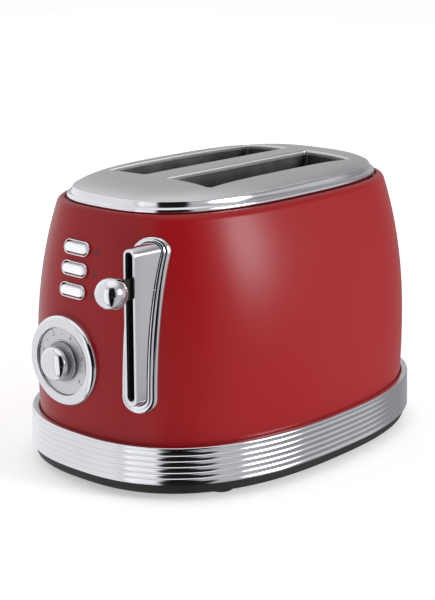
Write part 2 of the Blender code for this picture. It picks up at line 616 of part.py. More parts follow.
def make_carriage(shop):
    """Everything that goes down with the lever: ball, arm, plate, bush, lifters and keeper, and the return spring."""
    slide = shop.joint("carriage_axis", (GUIDE_X, 0, LEVER_Z))

    arc = 12
    profile = []
    for i in range(1, arc):
        angle = math.pi * i / arc
        profile.append((KNOB_RADIUS * math.sin(angle), KNOB_X - KNOB_RADIUS * math.cos(angle)))
    flat_x = KNOB_X + 8.4 * MM
    profile = [spot for spot in profile if spot[1] < flat_x]
    profile.append((math.sqrt(KNOB_RADIUS**2 - (flat_x - KNOB_X) ** 2), flat_x))
    profile.insert(0, (0.4 * MM, KNOB_X - KNOB_RADIUS))
    ball = turned(profile, "X", (LEVER_Y, LEVER_Z), 22)
    shop.object("lever_knob", ball, "bright_chrome", slide, smooth=True)

    half = ARM_THICKNESS / 2
    arm = box((flat_x + GAP, LEVER_Y - half, LEVER_Z - ARM_HEIGHT / 2),
              (CARRIAGE_X - GAP, LEVER_Y + half, LEVER_Z + ARM_HEIGHT / 2))
    shop.object("lever_arm", arm, "black_plastic", slide)

    outline = [(-49, 97), (34, 97), (34, 112), (-35, 112), (-35, 139), (-49, 139)]
    outline = [(y * MM, z * MM) for y, z in outline]
    plate = prism(outline, "X", CARRIAGE_X, CARRIAGE_X + 1.5 * MM)
    shop.object("carriage_plate", plate, "zinc", slide)

    bush = tube(rectangle((GUIDE_X - 5.7 * MM, -6 * MM), (GUIDE_X + 5.7 * MM, 6 * MM)),
                rectangle((GUIDE_X - 2.85 * MM, -2.85 * MM), (GUIDE_X + 2.85 * MM, 2.85 * MM)),
                "Z", 98 * MM, 112 * MM)
    shop.object("slide_bush", bush, "black_plastic", slide)

    web_low, web_high = 99 * MM, 107 * MM
    for side, name in ((-1, "left"), (1, "right")):
        y = side * SLOT_MIDDLE
        web = box((CARRIAGE_X + 1.8 * MM, y - 0.6 * MM, web_low), (79 * MM, y + 0.6 * MM, web_high))
        lifter = shop.object(f"bread_lifter_{name}", web, "chamber_sheet", slide)
        shelf = box((-72 * MM, y - 4 * MM, web_high - 0.5 * MM), (72 * MM, y + 4 * MM, web_high + 0.7 * MM))
        shop.boolean(lifter, shop.guide(f"lifter_shelf_{name}", shelf), "UNION")

    keeper = box((GUIDE_X - 5.5 * MM, -26 * MM, 93.0 * MM), (GUIDE_X + 5.5 * MM, -10 * MM, 95.0 * MM))
    shop.object("magnet_keeper", keeper, "zinc", slide)

    turns, steps, sides = 9, 9, 5
    coil, wire = 3.4 * MM, 0.45 * MM
    low, high = 112.5 * MM, 160.4 * MM
    centre = Vector((GUIDE_X, 14 * MM, 0))
    rings = []
    for i in range(turns * steps + 1):
        angle = 2 * math.pi * i / steps
        out = Vector((math.cos(angle), math.sin(angle), 0))
        middle = centre + out * coil + Vector((0, 0, low + (high - low) * i / (turns * steps)))
        ring = []
        for j in range(sides):
            round_wire = 2 * math.pi * j / sides
            ring.append(middle + wire * (math.cos(round_wire) * out + math.sin(round_wire) * Vector((0, 0, 1))))
        rings.append(ring)
    shop.object("return_spring", loft(rings), "wire", slide, smooth=True)


def make_tray(shop):
    """Crumb tray of folded sheet, with the plastic pull that closes its opening at the back."""
    slide = shop.joint("tray_axis", (120 * MM, 0, FOOT_HEIGHT + PAN_FLOOR + GAP))
    low, high = FOOT_HEIGHT + PAN_FLOOR + GAP, TRAY_TOP
    wall = 0.8 * MM
    start, end = -73 * MM, 121 * MM
    outer = rectangle((start, -TRAY_HALF_WIDTH), (end, TRAY_HALF_WIDTH))
    inner = rectangle((start + wall, -TRAY_HALF_WIDTH + wall), (end - wall, TRAY_HALF_WIDTH - wall))
    rings = [on_plane(outer, "Z", low), on_plane(outer, "Z", high)]
    rings += [on_plane(inner, "Z", high), on_plane(inner, "Z", low + wall)]
    shop.object("crumb_tray", loft(rings), "chamber_sheet", slide)

    half_length, half_width, power = BAND_OUTLINE
    pull = [(end + GAP, -TRAY_HALF_WIDTH), (end + GAP, TRAY_HALF_WIDTH)]
    points = 9
    for i in range(points):
        y = TRAY_HALF_WIDTH * (1 - 2 * i / (points - 1))
        bow = (1 - abs(y / half_width) ** power) ** (1 / power)
        pull.append((half_length * bow - 1.2 * MM, y))
    shop.object("tray_pull", prism(pull, "Z", low, TRAY_TOP), "black_plastic", slide)


def make_gland(shop):
    """Strain relief bush where the mains cord enters at the back."""
    profile = [(5.2, 129.0), (5.2, 135.8), (8.0, 135.8), (8.0, 137.4), (6.8, 138.6), (3.6, 138.6), (3.6, 129.0)]
    profile = [(r * MM, x * MM) for r, x in profile]
    shop.object("cord_gland", turned(profile, "X", (0, 50 * MM), 20, closed=True), "black_plastic", smooth=True)


def build():
    clear_scene()
    shop = Workshop()
    skin_gap = shop.guide("skin_gap", shell_solid(GAP))
    make_base(shop)
    make_shell(shop)
    make_top(shop)
    make_lever_surround(shop, skin_gap)
    make_dial(shop, skin_gap)
    make_buttons(shop, skin_gap)
    make_controls(shop)
    make_chassis(shop)
    make_heaters(shop)
    make_guards(shop)
    make_carriage(shop)
    make_tray(shop)
    make_gland(shop)


build()
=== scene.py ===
import math

import bmesh
import bpy
import numpy as np
from mathutils import Matrix, Vector


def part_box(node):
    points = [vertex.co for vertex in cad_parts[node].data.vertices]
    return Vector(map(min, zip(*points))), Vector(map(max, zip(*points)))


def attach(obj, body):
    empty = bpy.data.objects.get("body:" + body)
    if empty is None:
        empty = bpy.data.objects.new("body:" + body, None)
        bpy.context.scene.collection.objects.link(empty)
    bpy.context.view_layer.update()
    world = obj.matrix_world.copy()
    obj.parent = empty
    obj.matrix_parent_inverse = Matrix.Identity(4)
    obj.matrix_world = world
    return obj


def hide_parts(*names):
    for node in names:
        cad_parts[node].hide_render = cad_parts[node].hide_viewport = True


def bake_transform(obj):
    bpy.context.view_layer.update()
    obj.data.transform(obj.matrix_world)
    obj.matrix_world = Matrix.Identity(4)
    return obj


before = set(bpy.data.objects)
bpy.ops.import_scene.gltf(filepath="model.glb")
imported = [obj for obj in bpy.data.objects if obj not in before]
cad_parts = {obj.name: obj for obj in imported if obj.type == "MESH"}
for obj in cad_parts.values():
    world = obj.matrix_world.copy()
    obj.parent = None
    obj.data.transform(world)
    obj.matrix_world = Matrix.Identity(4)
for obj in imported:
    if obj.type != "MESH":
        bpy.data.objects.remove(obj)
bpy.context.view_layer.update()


# Base pan.
# The black moulding that everything stands in, with a rim that the shell sits inside. It is injected in
# glass filled plastic with a fine sparked grain, and has vents under the lever and a doorway for the tray.
MM = 0.001
pan_low, pan_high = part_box("base_pan")
MIDDLE = (pan_low.x + pan_high.x) / 2
OVAL_STEPS = 216
PAN_OUTLINE = (138.1, 97.0, 2.5)
PAN_WALL = 1.8
PAN_BOTTOM = pan_low.z / MM
PAN_TOP = pan_high.z / MM
PAN_FLOOR = PAN_BOTTOM + 2.0
TRAY_HALF_WIDTH = 52.6
TRAY_TOP = 10.0
VENTS = 5
VENT_START = -122.0
VENT_PITCH = 8.0
SCREW_X, SCREW_Y = 58.0, 76.0
SCREW_HOLE = 1.9


class Value:
    """A number that varies over a surface. Arithmetic on it adds Math nodes."""

    def __init__(self, tree, socket):
        self.tree = tree
        self.socket = socket

    def math(self, operation, *terms):
        node = self.tree.nodes.new("ShaderNodeMath")
        node.operation = operation
        for socket, term in zip(node.inputs, terms):
            if isinstance(term, Value):
                self.tree.links.new(term.socket, socket)
            else:
                socket.default_value = term
        return Value(self.tree, node.outputs[0])

    def __add__(self, other):
        return self.math("ADD", self, other)

    __radd__ = __add__

    def __sub__(self, other):
        return self.math("SUBTRACT", self, other)

    def __rsub__(self, other):
        return self.math("SUBTRACT", other, self)

    def __mul__(self, other):
        return self.math("MULTIPLY", self, other)

    __rmul__ = __mul__

    def ramp(self, low, high):
        """0 at low, 1 at high, and smooth in between."""
        node = self.tree.nodes.new("ShaderNodeMapRange")
        node.interpolation_type = "SMOOTHSTEP"
        self.tree.links.new(self.socket, node.inputs["Value"])
        node.inputs["From Min"].default_value = low
        node.inputs["From Max"].default_value = high
        return Value(self.tree, node.outputs[0])


class Graph:
    """The nodes of a finish or of the studio's surroundings."""

    def __init__(self, tree):
        self.tree = tree

    def node(self, kind, settings=None, output=0, **sockets):
        """Any node: first its settings, then its sockets' values or links, by name or as _number."""
        node = self.tree.nodes.new("ShaderNode" + kind)
        for key, value in (settings or {}).items():
            setattr(node, key, value)
        for name, value in sockets.items():
            key = int(name[1:]) if name[1:].isdigit() else name.replace("_", " ")
            if isinstance(value, Value):
                self.tree.links.new(value.socket, node.inputs[key])
            else:
                node.inputs[key].default_value = value
        return Value(self.tree, node.outputs[output])

    def mix(self, factor, first, second):
        """A colour between two, each of them a colour or a link."""
        first, second = ((*c, 1.0) if isinstance(c, tuple) else c for c in (first, second))
        settings = {"data_type": "RGBA", "clamp_factor": True}
        return self.node("Mix", settings, output=2, _0=factor, _6=first, _7=second)


class Finish(Graph):
    """A surface finish: a Principled shader and the nodes that vary it."""

    def __init__(self, name, **constants):
        self.material = bpy.data.materials.new(name)
        self.material.use_nodes = True
        super().__init__(self.material.node_tree)
        self.shader = self.tree.nodes["Principled BSDF"]
        for socket, value in constants.items():
            self.shader.inputs[socket.replace("_", " ")].default_value = value
        self.place = self.node("TexCoord", output="Object")

    def stretched(self, x, y, z):
        """The place on the piece, scaled along each axis, for marks that run one way."""
        return self.node("VectorMath", {"operation": "MULTIPLY"}, _0=self.place, _1=(x, y, z))

    def noise(self, scale, detail=2.0, at=None):
        return self.node("TexNoise", Vector=at or self.place, Scale=scale, Detail=detail)

    def cells(self, scale, feature="F1", output="Distance"):
        return self.node("TexVoronoi", {"feature": feature}, output=output, Vector=self.place, Scale=scale)

    def feed(self, socket, value):
        self.tree.links.new(value.socket, self.shader.inputs[socket])

    def tones(self, share, first, second):
        """A base colour between two."""
        self.feed("Base Color", self.mix(share, first, second))

    def bump(self, height, depth):
        """Relief whose full height is the depth, in metres."""
        self.feed("Normal", self.node("Bump", Height=height, Distance=depth, Strength=1.0))


def even_angles(count, power, ratio):
    """Angles that put points at even steps along a superellipse."""
    turn = np.linspace(0, 2 * math.pi, 6001)
    x = np.sign(np.cos(turn)) * np.abs(np.cos(turn)) ** (2 / power)
    y = np.sign(np.sin(turn)) * np.abs(np.sin(turn)) ** (2 / power) * ratio
    run = np.concatenate([[0], np.cumsum(np.hypot(np.diff(x), np.diff(y)))])
    return np.interp(np.linspace(0, run[-1], count, endpoint=False), run, turn)


OVAL_ANGLES = even_angles(OVAL_STEPS, 2.6, 0.69)


def oval(outline, z, grow=0.0):
    """Points round an oval in mm, grown by a distance: half length, half width, superellipse power."""
    half_length, half_width, power = outline
    ring = []
    for angle in OVAL_ANGLES:
        c, s = math.cos(angle), math.sin(angle)
        x = math.copysign(abs(c) ** (2 / power), c) * (half_length + grow)
        y = math.copysign(abs(s) ** (2 / power), s) * (half_width + grow)
        ring.append(place(x, y, z))
    return ring


def place(x, y, z):
    """A point in the frame from mm in the body's own middle."""
    return Vector((MIDDLE + x * MM, y * MM, z * MM))


def eased(section, radius, steps=4, closed=False):
    """A section with its corners rounded by about the radius. An open one keeps its two ends."""
    points = [Vector(point) for point in section]
    done = []
    for i, corner in enumerate(points):
        if not closed and i in (0, len(points) - 1):
            done.append(tuple(corner))
            continue
        before = points[i - 1] - corner
        after = points[(i + 1) % len(points)] - corner
        reach = min(radius, 0.45 * before.length, 0.45 * after.length)
        start = corner + before.normalized() * reach
        end = corner + after.normalized() * reach
        for step in range(steps + 1):
            t = step / steps
            done.append(tuple(start * (1 - t) ** 2 + corner * 2 * t * (1 - t) + end * t * t))
    return done


def loft(rings, closed=False):
    """A skin over rings of points. A closed one meets its own start, and an open one is capped."""
    bm = bmesh.new()
    rows = [[bm.verts.new(point) for point in ring] for ring in rings]
    pairs = list(zip(rows, rows[1:]))
    if closed:
        pairs.append((rows[-1], rows[0]))
    for low, high in pairs:
        for i in range(len(low)):
            j = (i + 1) % len(low)
            bm.faces.new((low[i], low[j], high[j], high[i]))
    if not closed:
        bm.faces.new(rows[0])
        bm.faces.new(rows[-1])
    bmesh.ops.recalc_face_normals(bm, faces=bm.faces)
    return bm


def turned(profile, axis, centre, steps=96, closed=False):
    """A piece turned on a lathe, in mm: its profile is (radius, place along the axis)."""
    rings = []
    for radius, level in profile:
        ring = []
        for step in range(steps):
            angle = 2 * math.pi * step / steps
            u = centre[0] + radius * math.cos(angle)
            v = centre[1] + radius * math.sin(angle)
            ring.append(place(level, u, v) if axis == "X" else place(u, v, level))
        rings.append(ring)
    return loft(rings, closed)


def block(low, high, ease=0.0):
    """A box between two corners in mm, with its edges rounded."""
    corners = [(low[0], low[1]), (high[0], low[1]), (high[0], high[1]), (low[0], high[1])]
    bm = loft([[place(x, y, z) for x, y in corners] for z in (low[2], high[2])])
    if ease:
        bmesh.ops.bevel(bm, geom=bm.edges[:], offset=ease * MM, segments=3, profile=0.5, affect="EDGES")
    return bm


def merged(meshes):
    """Several loose meshes as one, for pieces and cutters that have more than one body."""
    whole = bmesh.new()
    for part in meshes:
        loose = bpy.data.meshes.new("loose")
        part.to_mesh(loose)
        part.free()
        whole.from_mesh(loose)
        bpy.data.meshes.remove(loose)
    return whole


def put(name, data):
    """A new object in the scene."""
    made = bpy.data.objects.new(name, data)
    bpy.context.scene.collection.objects.link(made)
    return made


def settled(made):
    """An object's mesh with its modifiers applied."""
    bpy.context.view_layer.update()
    return bpy.data.meshes.new_from_object(made.evaluated_get(bpy.context.evaluated_depsgraph_get()))


def smoothed(made, edge):
    """Shades a piece smooth up to an angle in degrees, and keeps its flat faces flat."""
    made.data.shade_smooth()
    made.data.set_sharp_from_angle(angle=math.radians(edge))
    made.modifiers.new("flat faces stay flat", "WEIGHTED_NORMAL").keep_sharp = True


def piece(name, bm, finish, body, stands_for=(), edge=35):
    """A smooth piece that rides on a body, takes a material slot and stands for CAD nodes."""
    mesh = bpy.data.meshes.new(name)
    bm.to_mesh(mesh)
    bm.free()
    mesh.materials.append(finish.material)
    made = put(name, mesh)
    smoothed(made, edge)
    if body:
        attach(made, body)
    if stands_for:
        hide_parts(*stands_for)
    return made


def opened(made, cutters, edge=35):
    """Cuts openings into a piece, as its own mesh."""
    tool_mesh = bpy.data.meshes.new("tool")
    whole = merged(cutters)
    whole.to_mesh(tool_mesh)
    whole.free()
    tool = put("tool", tool_mesh)
    made.modifiers.clear()
    boolean = made.modifiers.new("openings", "BOOLEAN")
    boolean.solver = "EXACT"
    boolean.object = tool
    cut_mesh = settled(made)
    made.modifiers.clear()
    made.data = cut_mesh
    cut_mesh.name = made.name
    smoothed(made, edge)
    bpy.data.objects.remove(tool, do_unlink=True)


def refinished(finish, *nodes):
    """Gives a finish to CAD nodes whose shape is right as it is."""
    for name in nodes:
        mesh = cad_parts[name].data
        mesh.materials.clear()
        mesh.materials.append(finish.material)


black = Finish("sparked_black_moulding", Specular_IOR_Level=0.4)
black.tones(black.noise(90.0), (0.008, 0.008, 0.009), (0.018, 0.018, 0.019))
black.feed("Roughness", 0.40 + 0.20 * black.noise(500.0))
black.bump(black.noise(1800.0, 3.0), 0.03 * MM)

section = [(-6.0, 0.0), (-1.2, 0.0), (-0.35, 0.5), (0.0, 1.6)]
rings = [oval(PAN_OUTLINE, PAN_BOTTOM + z, grow) for grow, z in eased(section, 0.5)]
rings += [oval(PAN_OUTLINE, z) for z in (6.1, 12.0, PAN_TOP)]
rings.append(oval(PAN_OUTLINE, PAN_TOP, -PAN_WALL))
rings.append(oval(PAN_OUTLINE, PAN_FLOOR, -PAN_WALL))
pan = piece("base_moulding", loft(rings), black, "housing", ["base_pan"])
door_side = TRAY_HALF_WIDTH + 0.7
openings = [block((110, -door_side, PAN_FLOOR + 0.15), (148, door_side, TRAY_TOP + 0.4))]
for i in range(VENTS):
    x = VENT_START + VENT_PITCH * i
    openings.append(block((x, -26, 0), (x + 3, 26, PAN_FLOOR + 10)))
for spot in [(sx * SCREW_X, sy * SCREW_Y) for sx in (-1, 1) for sy in (-1, 1)]:
    openings.append(turned([(SCREW_HOLE, 0), (SCREW_HOLE, 20)], "Z", spot, 24))
opened(pan, openings)


# Feet.
# Four pads of soft black rubber, pressed into the pan. Each has a groove round its tread so that it grips,
# and a dull skin that picks up dust.
CORNERS = {"front_left": (-1, -1), "front_right": (-1, 1), "rear_left": (1, -1), "rear_right": (1, 1)}
FOOT_X, FOOT_Y = 84.0, 68.0
rubber = Finish("dull_foot_rubber", Specular_IOR_Level=0.25)
dust = rubber.noise(160.0, 4.0).ramp(0.5, 0.75)
rubber.tones(dust, (0.012, 0.012, 0.012), (0.05, 0.048, 0.045))
rubber.feed("Roughness", 0.72 + 0.2 * rubber.noise(700.0))
rubber.bump(rubber.noise(1500.0, 3.0), 0.04 * MM)

section = [(0.4, 0.0), (4.6, 0.0), (4.9, 0.6), (5.7, 0.6), (6.0, 0.0), (7.6, 0.0), (8.5, 0.9), (9.0, 3.7)]
section.append((0.4, 3.7))
for name, (sx, sy) in CORNERS.items():
    pad = turned(eased(section, 0.35), "Z", (sx * FOOT_X, sy * FOOT_Y), 64)
    piece(f"rubber_foot_{name}", pad, rubber, "housing", [f"foot_{name}"])


# Base screws.
# Four zinc plated pan head screws that hold the pan to the chassis from below. Their heads are cold formed
# with a cross recess, and the plating has a faint blue spangle.
zinc = Finish("spangled_zinc_plate", Metallic=1.0)
spangle = zinc.cells(420.0, output="Color")
zinc.tones(spangle, (0.50, 0.51, 0.53), (0.62, 0.63, 0.66))
zinc.feed("Roughness", 0.26 + 0.2 * zinc.noise(600.0))
zinc.bump(zinc.noise(900.0), 0.01 * MM)

HEAD_LOW = 2.4
RECESS_REACH = 1.6
RECESS_HALF = 0.32
section = [(0.3, HEAD_LOW), (2.2, 2.5), (3.0, 3.0), (3.1, 3.7), (1.5, 3.7), (1.5, 15.4), (0.9, 16.0)]
section.append((0.3, 16.0))
for name, (sx, sy) in CORNERS.items():
    x, y = sx * SCREW_X, sy * SCREW_Y
    screw = turned(eased(section, 0.25, 3), "Z", (x, y), 40)
    screw = piece(f"pan_head_screw_{name}", screw, zinc, "housing", [f"base_screw_{name}"])
    low = HEAD_LOW - 1
    long_slot = block((x - RECESS_REACH, y - RECESS_HALF, low), (x + RECESS_REACH, y + RECESS_HALF, 3.3))
    short_slot = block((x - RECESS_HALF, y - RECESS_REACH, low), (x + RECESS_HALF, y + RECESS_REACH, 3.3001))
    opened(screw, [long_slot])
    opened(screw, [short_slot])


# Base band.
# A fluted belt round the foot of the body, moulded in plastic, chrome plated and clipped over the pan's rim.
# Five ridges stand between six shallow flutes, and a rounded lip turns in towards the shell at the top.
BAND_BOTTOM = 10.6
BAND_TOP = 34.3
BAND_OUTLINE = (140.6, 99.5, 2.5)
BAND_TAPER = 0.6
FLUTES = 6
FLUTE_DEPTH = 0.75
LIP = 1.5

chrome = Finish("bright_chrome_plate", Metallic=1.0)
chrome.tones(chrome.noise(35.0), (0.72, 0.73, 0.765), (0.80, 0.81, 0.84))
chrome.feed("Roughness", 0.075 + 0.06 * chrome.noise(140.0, 3.0))
chrome.bump(chrome.noise(55.0, 1.0), 0.03 * MM)

section = [(-2.2, BAND_BOTTOM), (-0.5, BAND_BOTTOM), (-0.05, BAND_BOTTOM + 0.35)]
pitch = (BAND_TOP - LIP - BAND_BOTTOM - 0.5) / FLUTES
for i in range(FLUTES):
    for step in range(1, 12):
        t = step / 12
        z = BAND_BOTTOM + 0.5 + pitch * (i + t)
        section.append((-0.05 - FLUTE_DEPTH * math.sin(math.pi * t) ** 0.75, z))
    if i < FLUTES - 1:
        section.append((0.0, BAND_BOTTOM + 0.5 + pitch * (i + 1)))
section += [(-0.02, BAND_TOP - LIP), (0.0, BAND_TOP - 0.9), (-0.25, BAND_TOP - 0.3), (-0.9, BAND_TOP)]
section += [(-3.2, BAND_TOP), (-3.9, BAND_TOP - 0.15), (-4.4, BAND_TOP - 0.7)]
section += [(-1.9, BAND_TOP - 1.2), (-1.9, BAND_BOTTOM + 1.0), (-2.2, BAND_BOTTOM + 0.9)]
rings = []
for grow, z in section:
    taper = BAND_TAPER * (z - BAND_BOTTOM) / (BAND_TOP - BAND_BOTTOM)
    rings.append(oval(BAND_OUTLINE, z, grow - taper))
piece("fluted_band", loft(rings, closed=True), chrome, "housing", ["base_band"], 50)


# Toasting chamber.
# Two end plates and two reflectors of aluminised steel, spot welded into a frame. The rolled sheet keeps its
# grain, and the heat has browned it in cloudy patches.
aluminised = Finish("aluminised_sheet", Metallic=1.0)
rolled = aluminised.noise(1.0, 3.0, aluminised.stretched(30.0, 30.0, 900.0))
heated = aluminised.noise(24.0, 3.0).ramp(0.42, 0.7)
bright_sheet = aluminised.mix(rolled, (0.38, 0.375, 0.37), (0.50, 0.50, 0.50))
aluminised.tones(heated * 0.7, bright_sheet, (0.25, 0.185, 0.125))
aluminised.feed("Roughness", 0.28 + 0.2 * rolled)
aluminised.bump(rolled, 0.01 * MM)
refinished(aluminised, "chassis_front_plate", "chassis_rear_plate")
refinished(aluminised, "side_reflector_left", "side_reflector_right")


# Heaters.
# Four boards of pressed mica, each wound with a flat resistance ribbon. Mica is flaky and pearly, and the
# ribbon has gone dark and dull with oxide.
mica = Finish("pressed_mica", Specular_IOR_Level=0.6)
flakes = mica.cells(260.0, output="Color")
mica.tones(flakes, (0.44, 0.39, 0.31), (0.66, 0.62, 0.54))
mica.feed("Roughness", 0.42 + 0.3 * mica.noise(300.0))
mica.bump(mica.cells(260.0), 0.05 * MM)
ribbon = Finish("oxidised_ribbon", Metallic=1.0)
ribbon.tones(ribbon.noise(260.0, 4.0), (0.10, 0.085, 0.08), (0.30, 0.26, 0.24))
ribbon.feed("Roughness", 0.38 + 0.25 * ribbon.noise(900.0))
ribbon.bump(ribbon.noise(1.0, 2.0, ribbon.stretched(120.0, 600.0, 2500.0)), 0.02 * MM)
for board in ("outer_left", "inner_left", "inner_right", "outer_right"):
    refinished(mica, f"heater_board_{board}")
    refinished(ribbon, f"heater_ribbon_{board}")


# Bread guards.
# Frames of drawn and tinned wire that stand between the bread and the ribbons: a long wire below, which is
# also the hinge, seven uprights and a wire along the top, spot welded where they cross.
WIRE_RADIUS = 0.7
GUARD_HALF = 66.0
GUARD_PIN = 77.6
GUARD_LOW = 44.0
GUARD_HIGH = 164.3
UPRIGHTS = 7

wire = Finish("drawn_wire", Metallic=1.0)
die_lines = wire.noise(1.0, 2.0, wire.stretched(1800.0, 1800.0, 60.0))
wire.tones(wire.noise(70.0, 3.0), (0.40, 0.38, 0.36), (0.60, 0.59, 0.57))
wire.feed("Roughness", 0.22 + 0.22 * die_lines)
wire.bump(die_lines, 0.012 * MM)


def drawn(path, radius, sides=12):
    """A round wire along a path of points in mm, with its ends capped."""
    points = [place(*spot) for spot in path]
    ahead = points[1:] + points[-1:]
    behind = points[:1] + points[:-1]
    tangents = [(after - before).normalized() for after, before in zip(ahead, behind)]
    side = tangents[0].orthogonal().normalized()
    rings = []
    for point, along in zip(points, tangents):
        side = (side - along * side.dot(along)).normalized()
        other = along.cross(side)
        turns = [2 * math.pi * k / sides for k in range(sides)]
        rings.append([point + radius * MM * (math.cos(t) * side + math.sin(t) * other) for t in turns])
    return loft(rings)


for name, y in (("left_outer", -45.2), ("left_inner", -8.5), ("right_inner", 8.5), ("right_outer", 45.2)):
    wires = []
    for half, z in ((GUARD_PIN, GUARD_LOW), (GUARD_HALF, GUARD_HIGH)):
        wires.append(drawn([(-half, y, z), (0, y, z), (half, y, z)], WIRE_RADIUS))
    for i in range(UPRIGHTS):
        x = GUARD_HALF * (2 * i / (UPRIGHTS - 1) - 1)
        wires.append(drawn([(x, y, GUARD_LOW), (x, y, 105), (x, y, GUARD_HIGH)], WIRE_RADIUS))
    guard = merged(wires)
    piece(f"wire_guard_{name}", guard, wire, f"guard_{name}", [f"bread_guard_{name}"], 50)


# Guide rod and electromagnet.
# The ground steel rod that the carriage slides on, and the magnet that holds the carriage down: enamelled
# copper wire wound on a black bobbin, with a flat iron pole on top.
MAGNET = (-86.0, -18.0)
MAGNET_LOW = 6.3
WINDING_TURNS = 34
WINDING_LOW, WINDING_HIGH = 8.2, 29.6
refinished(chrome, "guide_rod")
copper = Finish("enamelled_copper_wire", Metallic=1.0, Coat_Weight=0.6)
copper.tones(copper.noise(220.0, 3.0), (0.42, 0.15, 0.06), (0.66, 0.31, 0.14))
copper.feed("Roughness", 0.25 + 0.15 * copper.noise(500.0))
copper.bump(copper.noise(1.0, 2.0, copper.stretched(150.0, 150.0, 3000.0)), 0.02 * MM)
section = [(3.0, WINDING_LOW)]
for i in range(WINDING_TURNS * 4 + 1):
    z = WINDING_LOW + (WINDING_HIGH - WINDING_LOW) * i / (WINDING_TURNS * 4)
    section.append((6.7 + 0.25 * abs(math.sin(math.pi * i / 4)), z))
section.append((3.0, WINDING_HIGH))
winding = turned(section, "Z", MAGNET, 48)
piece("magnet_winding", winding, copper, "housing", ["electromagnet"], 80)
section = [(3.2, MAGNET_LOW), (9.0, MAGNET_LOW), (9.0, 8.0), (5.0, 8.0), (5.0, 30.0), (9.0, 30.0)]
section += [(9.0, 31.6), (3.2, 31.6)]
bobbin = turned(eased(section, 0.3, closed=True), "Z", MAGNET, 48, closed=True)
piece("magnet_bobbin", bobbin, black, "housing")
section = [(0.3, 7.0), (3.1, 7.0), (3.1, 33.6), (2.7, 34.0), (0.3, 34.0)]
piece("magnet_pole", turned(section, "Z", MAGNET, 40), zinc, "housing")


# Controls behind the front.
# A glass fibre board with copper tracks under green lacquer carries the browning potentiometer, three push
# switches and a few small parts that are soldered on.
lacquer = Finish("green_circuit_lacquer", Coat_Weight=0.3)
tracks = 1 - lacquer.cells(170.0, "DISTANCE_TO_EDGE").ramp(0.05, 0.09)
weave = lacquer.noise(1.0, 1.0, lacquer.stretched(10.0, 1400.0, 1400.0))
green = lacquer.mix(weave, (0.010, 0.085, 0.030), (0.018, 0.12, 0.045))
lacquer.tones(tracks * 0.8, green, (0.10, 0.26, 0.10))
lacquer.feed("Roughness", 0.30 + 0.15 * weave)
lacquer.bump(tracks, 0.03 * MM)
refinished(lacquer, "control_board")
refinished(zinc, "potentiometer")
refinished(black, "button_switch_top", "button_switch_middle", "button_switch_bottom")
BOARD_BACK = -111.0
relay = block((BOARD_BACK + 0.02, 18, 112), (BOARD_BACK + 12, 34, 128), 0.5)
chip = block((BOARD_BACK + 0.02, 0, 84), (BOARD_BACK + 2.4, 6, 92), 0.3)
piece("board_relay_and_chip", merged([relay, chip]), black, "housing")
cans = [turned(eased([(0.3, x0), (r, x0), (r, x1), (0.3, x1)], 0.5), "X", centre, 32)
        for r, x0, x1, centre in ((3.0, BOARD_BACK + 0.02, BOARD_BACK + 8, (26, 100)),
                                  (2.2, BOARD_BACK + 0.02, BOARD_BACK + 6, (26, 90)))]
piece("board_capacitors", merged(cans), zinc, "housing")


# Carriage.
# A zinc plated steel plate slides up and down the rod on a plastic bush. It carries the lifters under the
# bread and the soft iron keeper that the magnet catches, and a wound spring draws it back up.
refinished(zinc, "carriage_plate", "magnet_keeper")
refinished(black, "slide_bush")
refinished(aluminised, "bread_lifter_left", "bread_lifter_right")
SPRING = (-86.0, 14.0)
SPRING_LOW = 112.5
SPRING_HIGH = 160.4
SPRING_TURNS = 9
COIL_RADIUS = 3.4
SPRING_WIRE = 0.45
helix = []
steps = SPRING_TURNS * 28
for i in range(steps + 1):
    angle = 2 * math.pi * SPRING_TURNS * i / steps
    z = SPRING_LOW + (SPRING_HIGH - SPRING_LOW) * i / steps
    helix.append((SPRING[0] + COIL_RADIUS * math.cos(angle), SPRING[1] + COIL_RADIUS * math.sin(angle), z))
coil = drawn(helix, SPRING_WIRE, 8)
spring = piece("coiled_spring", coil, wire, None, ["return_spring"], 50)
place(*SPRING, SPRING_HIGH)
place(*SPRING, SPRING_LOW)
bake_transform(spring)


# Body shell.
# One deep drawn steel shell, 1 mm thick, that draws in slowly as it rises to a hem above a sunk lip. It is
# stove enamelled in deep red with a satin gloss, and pierced for the buttons, lever, dial, gland and tray.
SHELL_TOP = 171.4
SHELL_LIP = 169.2
SHELL_FOOT_OUTLINE = (135.5, 94.5, 2.465)
SHELL_TOP_OUTLINE = (118.0, 70.4, 2.8)
SHELL_LIP_OUTLINE = (111.8, 63.2, 2.8)
SHELL_SHEET = 1.0
SHELL_BOTTOM = PAN_FLOOR + 0.3
TAPER_SHARE = 0.866
TAPER_POWER = 2.554
SHOULDER_START = 0.975
HEM_START = 167.0
BUTTON_Y = 10.2
BUTTON_LEVELS = {"top": 147.3, "middle": 134.6, "bottom": 121.4}
BUTTON_HOLE = (20.7, 7.0)
LEVER_Y = -42.5
LEVER_SLOT_LOW = 63.2
LEVER_SLOT_HIGH = 153.8
LEVER_SLOT_MIDDLE = (LEVER_SLOT_LOW + LEVER_SLOT_HIGH) / 2
LEVER_SLOT = (5.7, LEVER_SLOT_HIGH - LEVER_SLOT_LOW)
DIAL = (14.5, 77.0)
SHAFT_HOLE = 4.0
GLAND = (0.0, 50.0)
GLAND_HOLE = 5.6


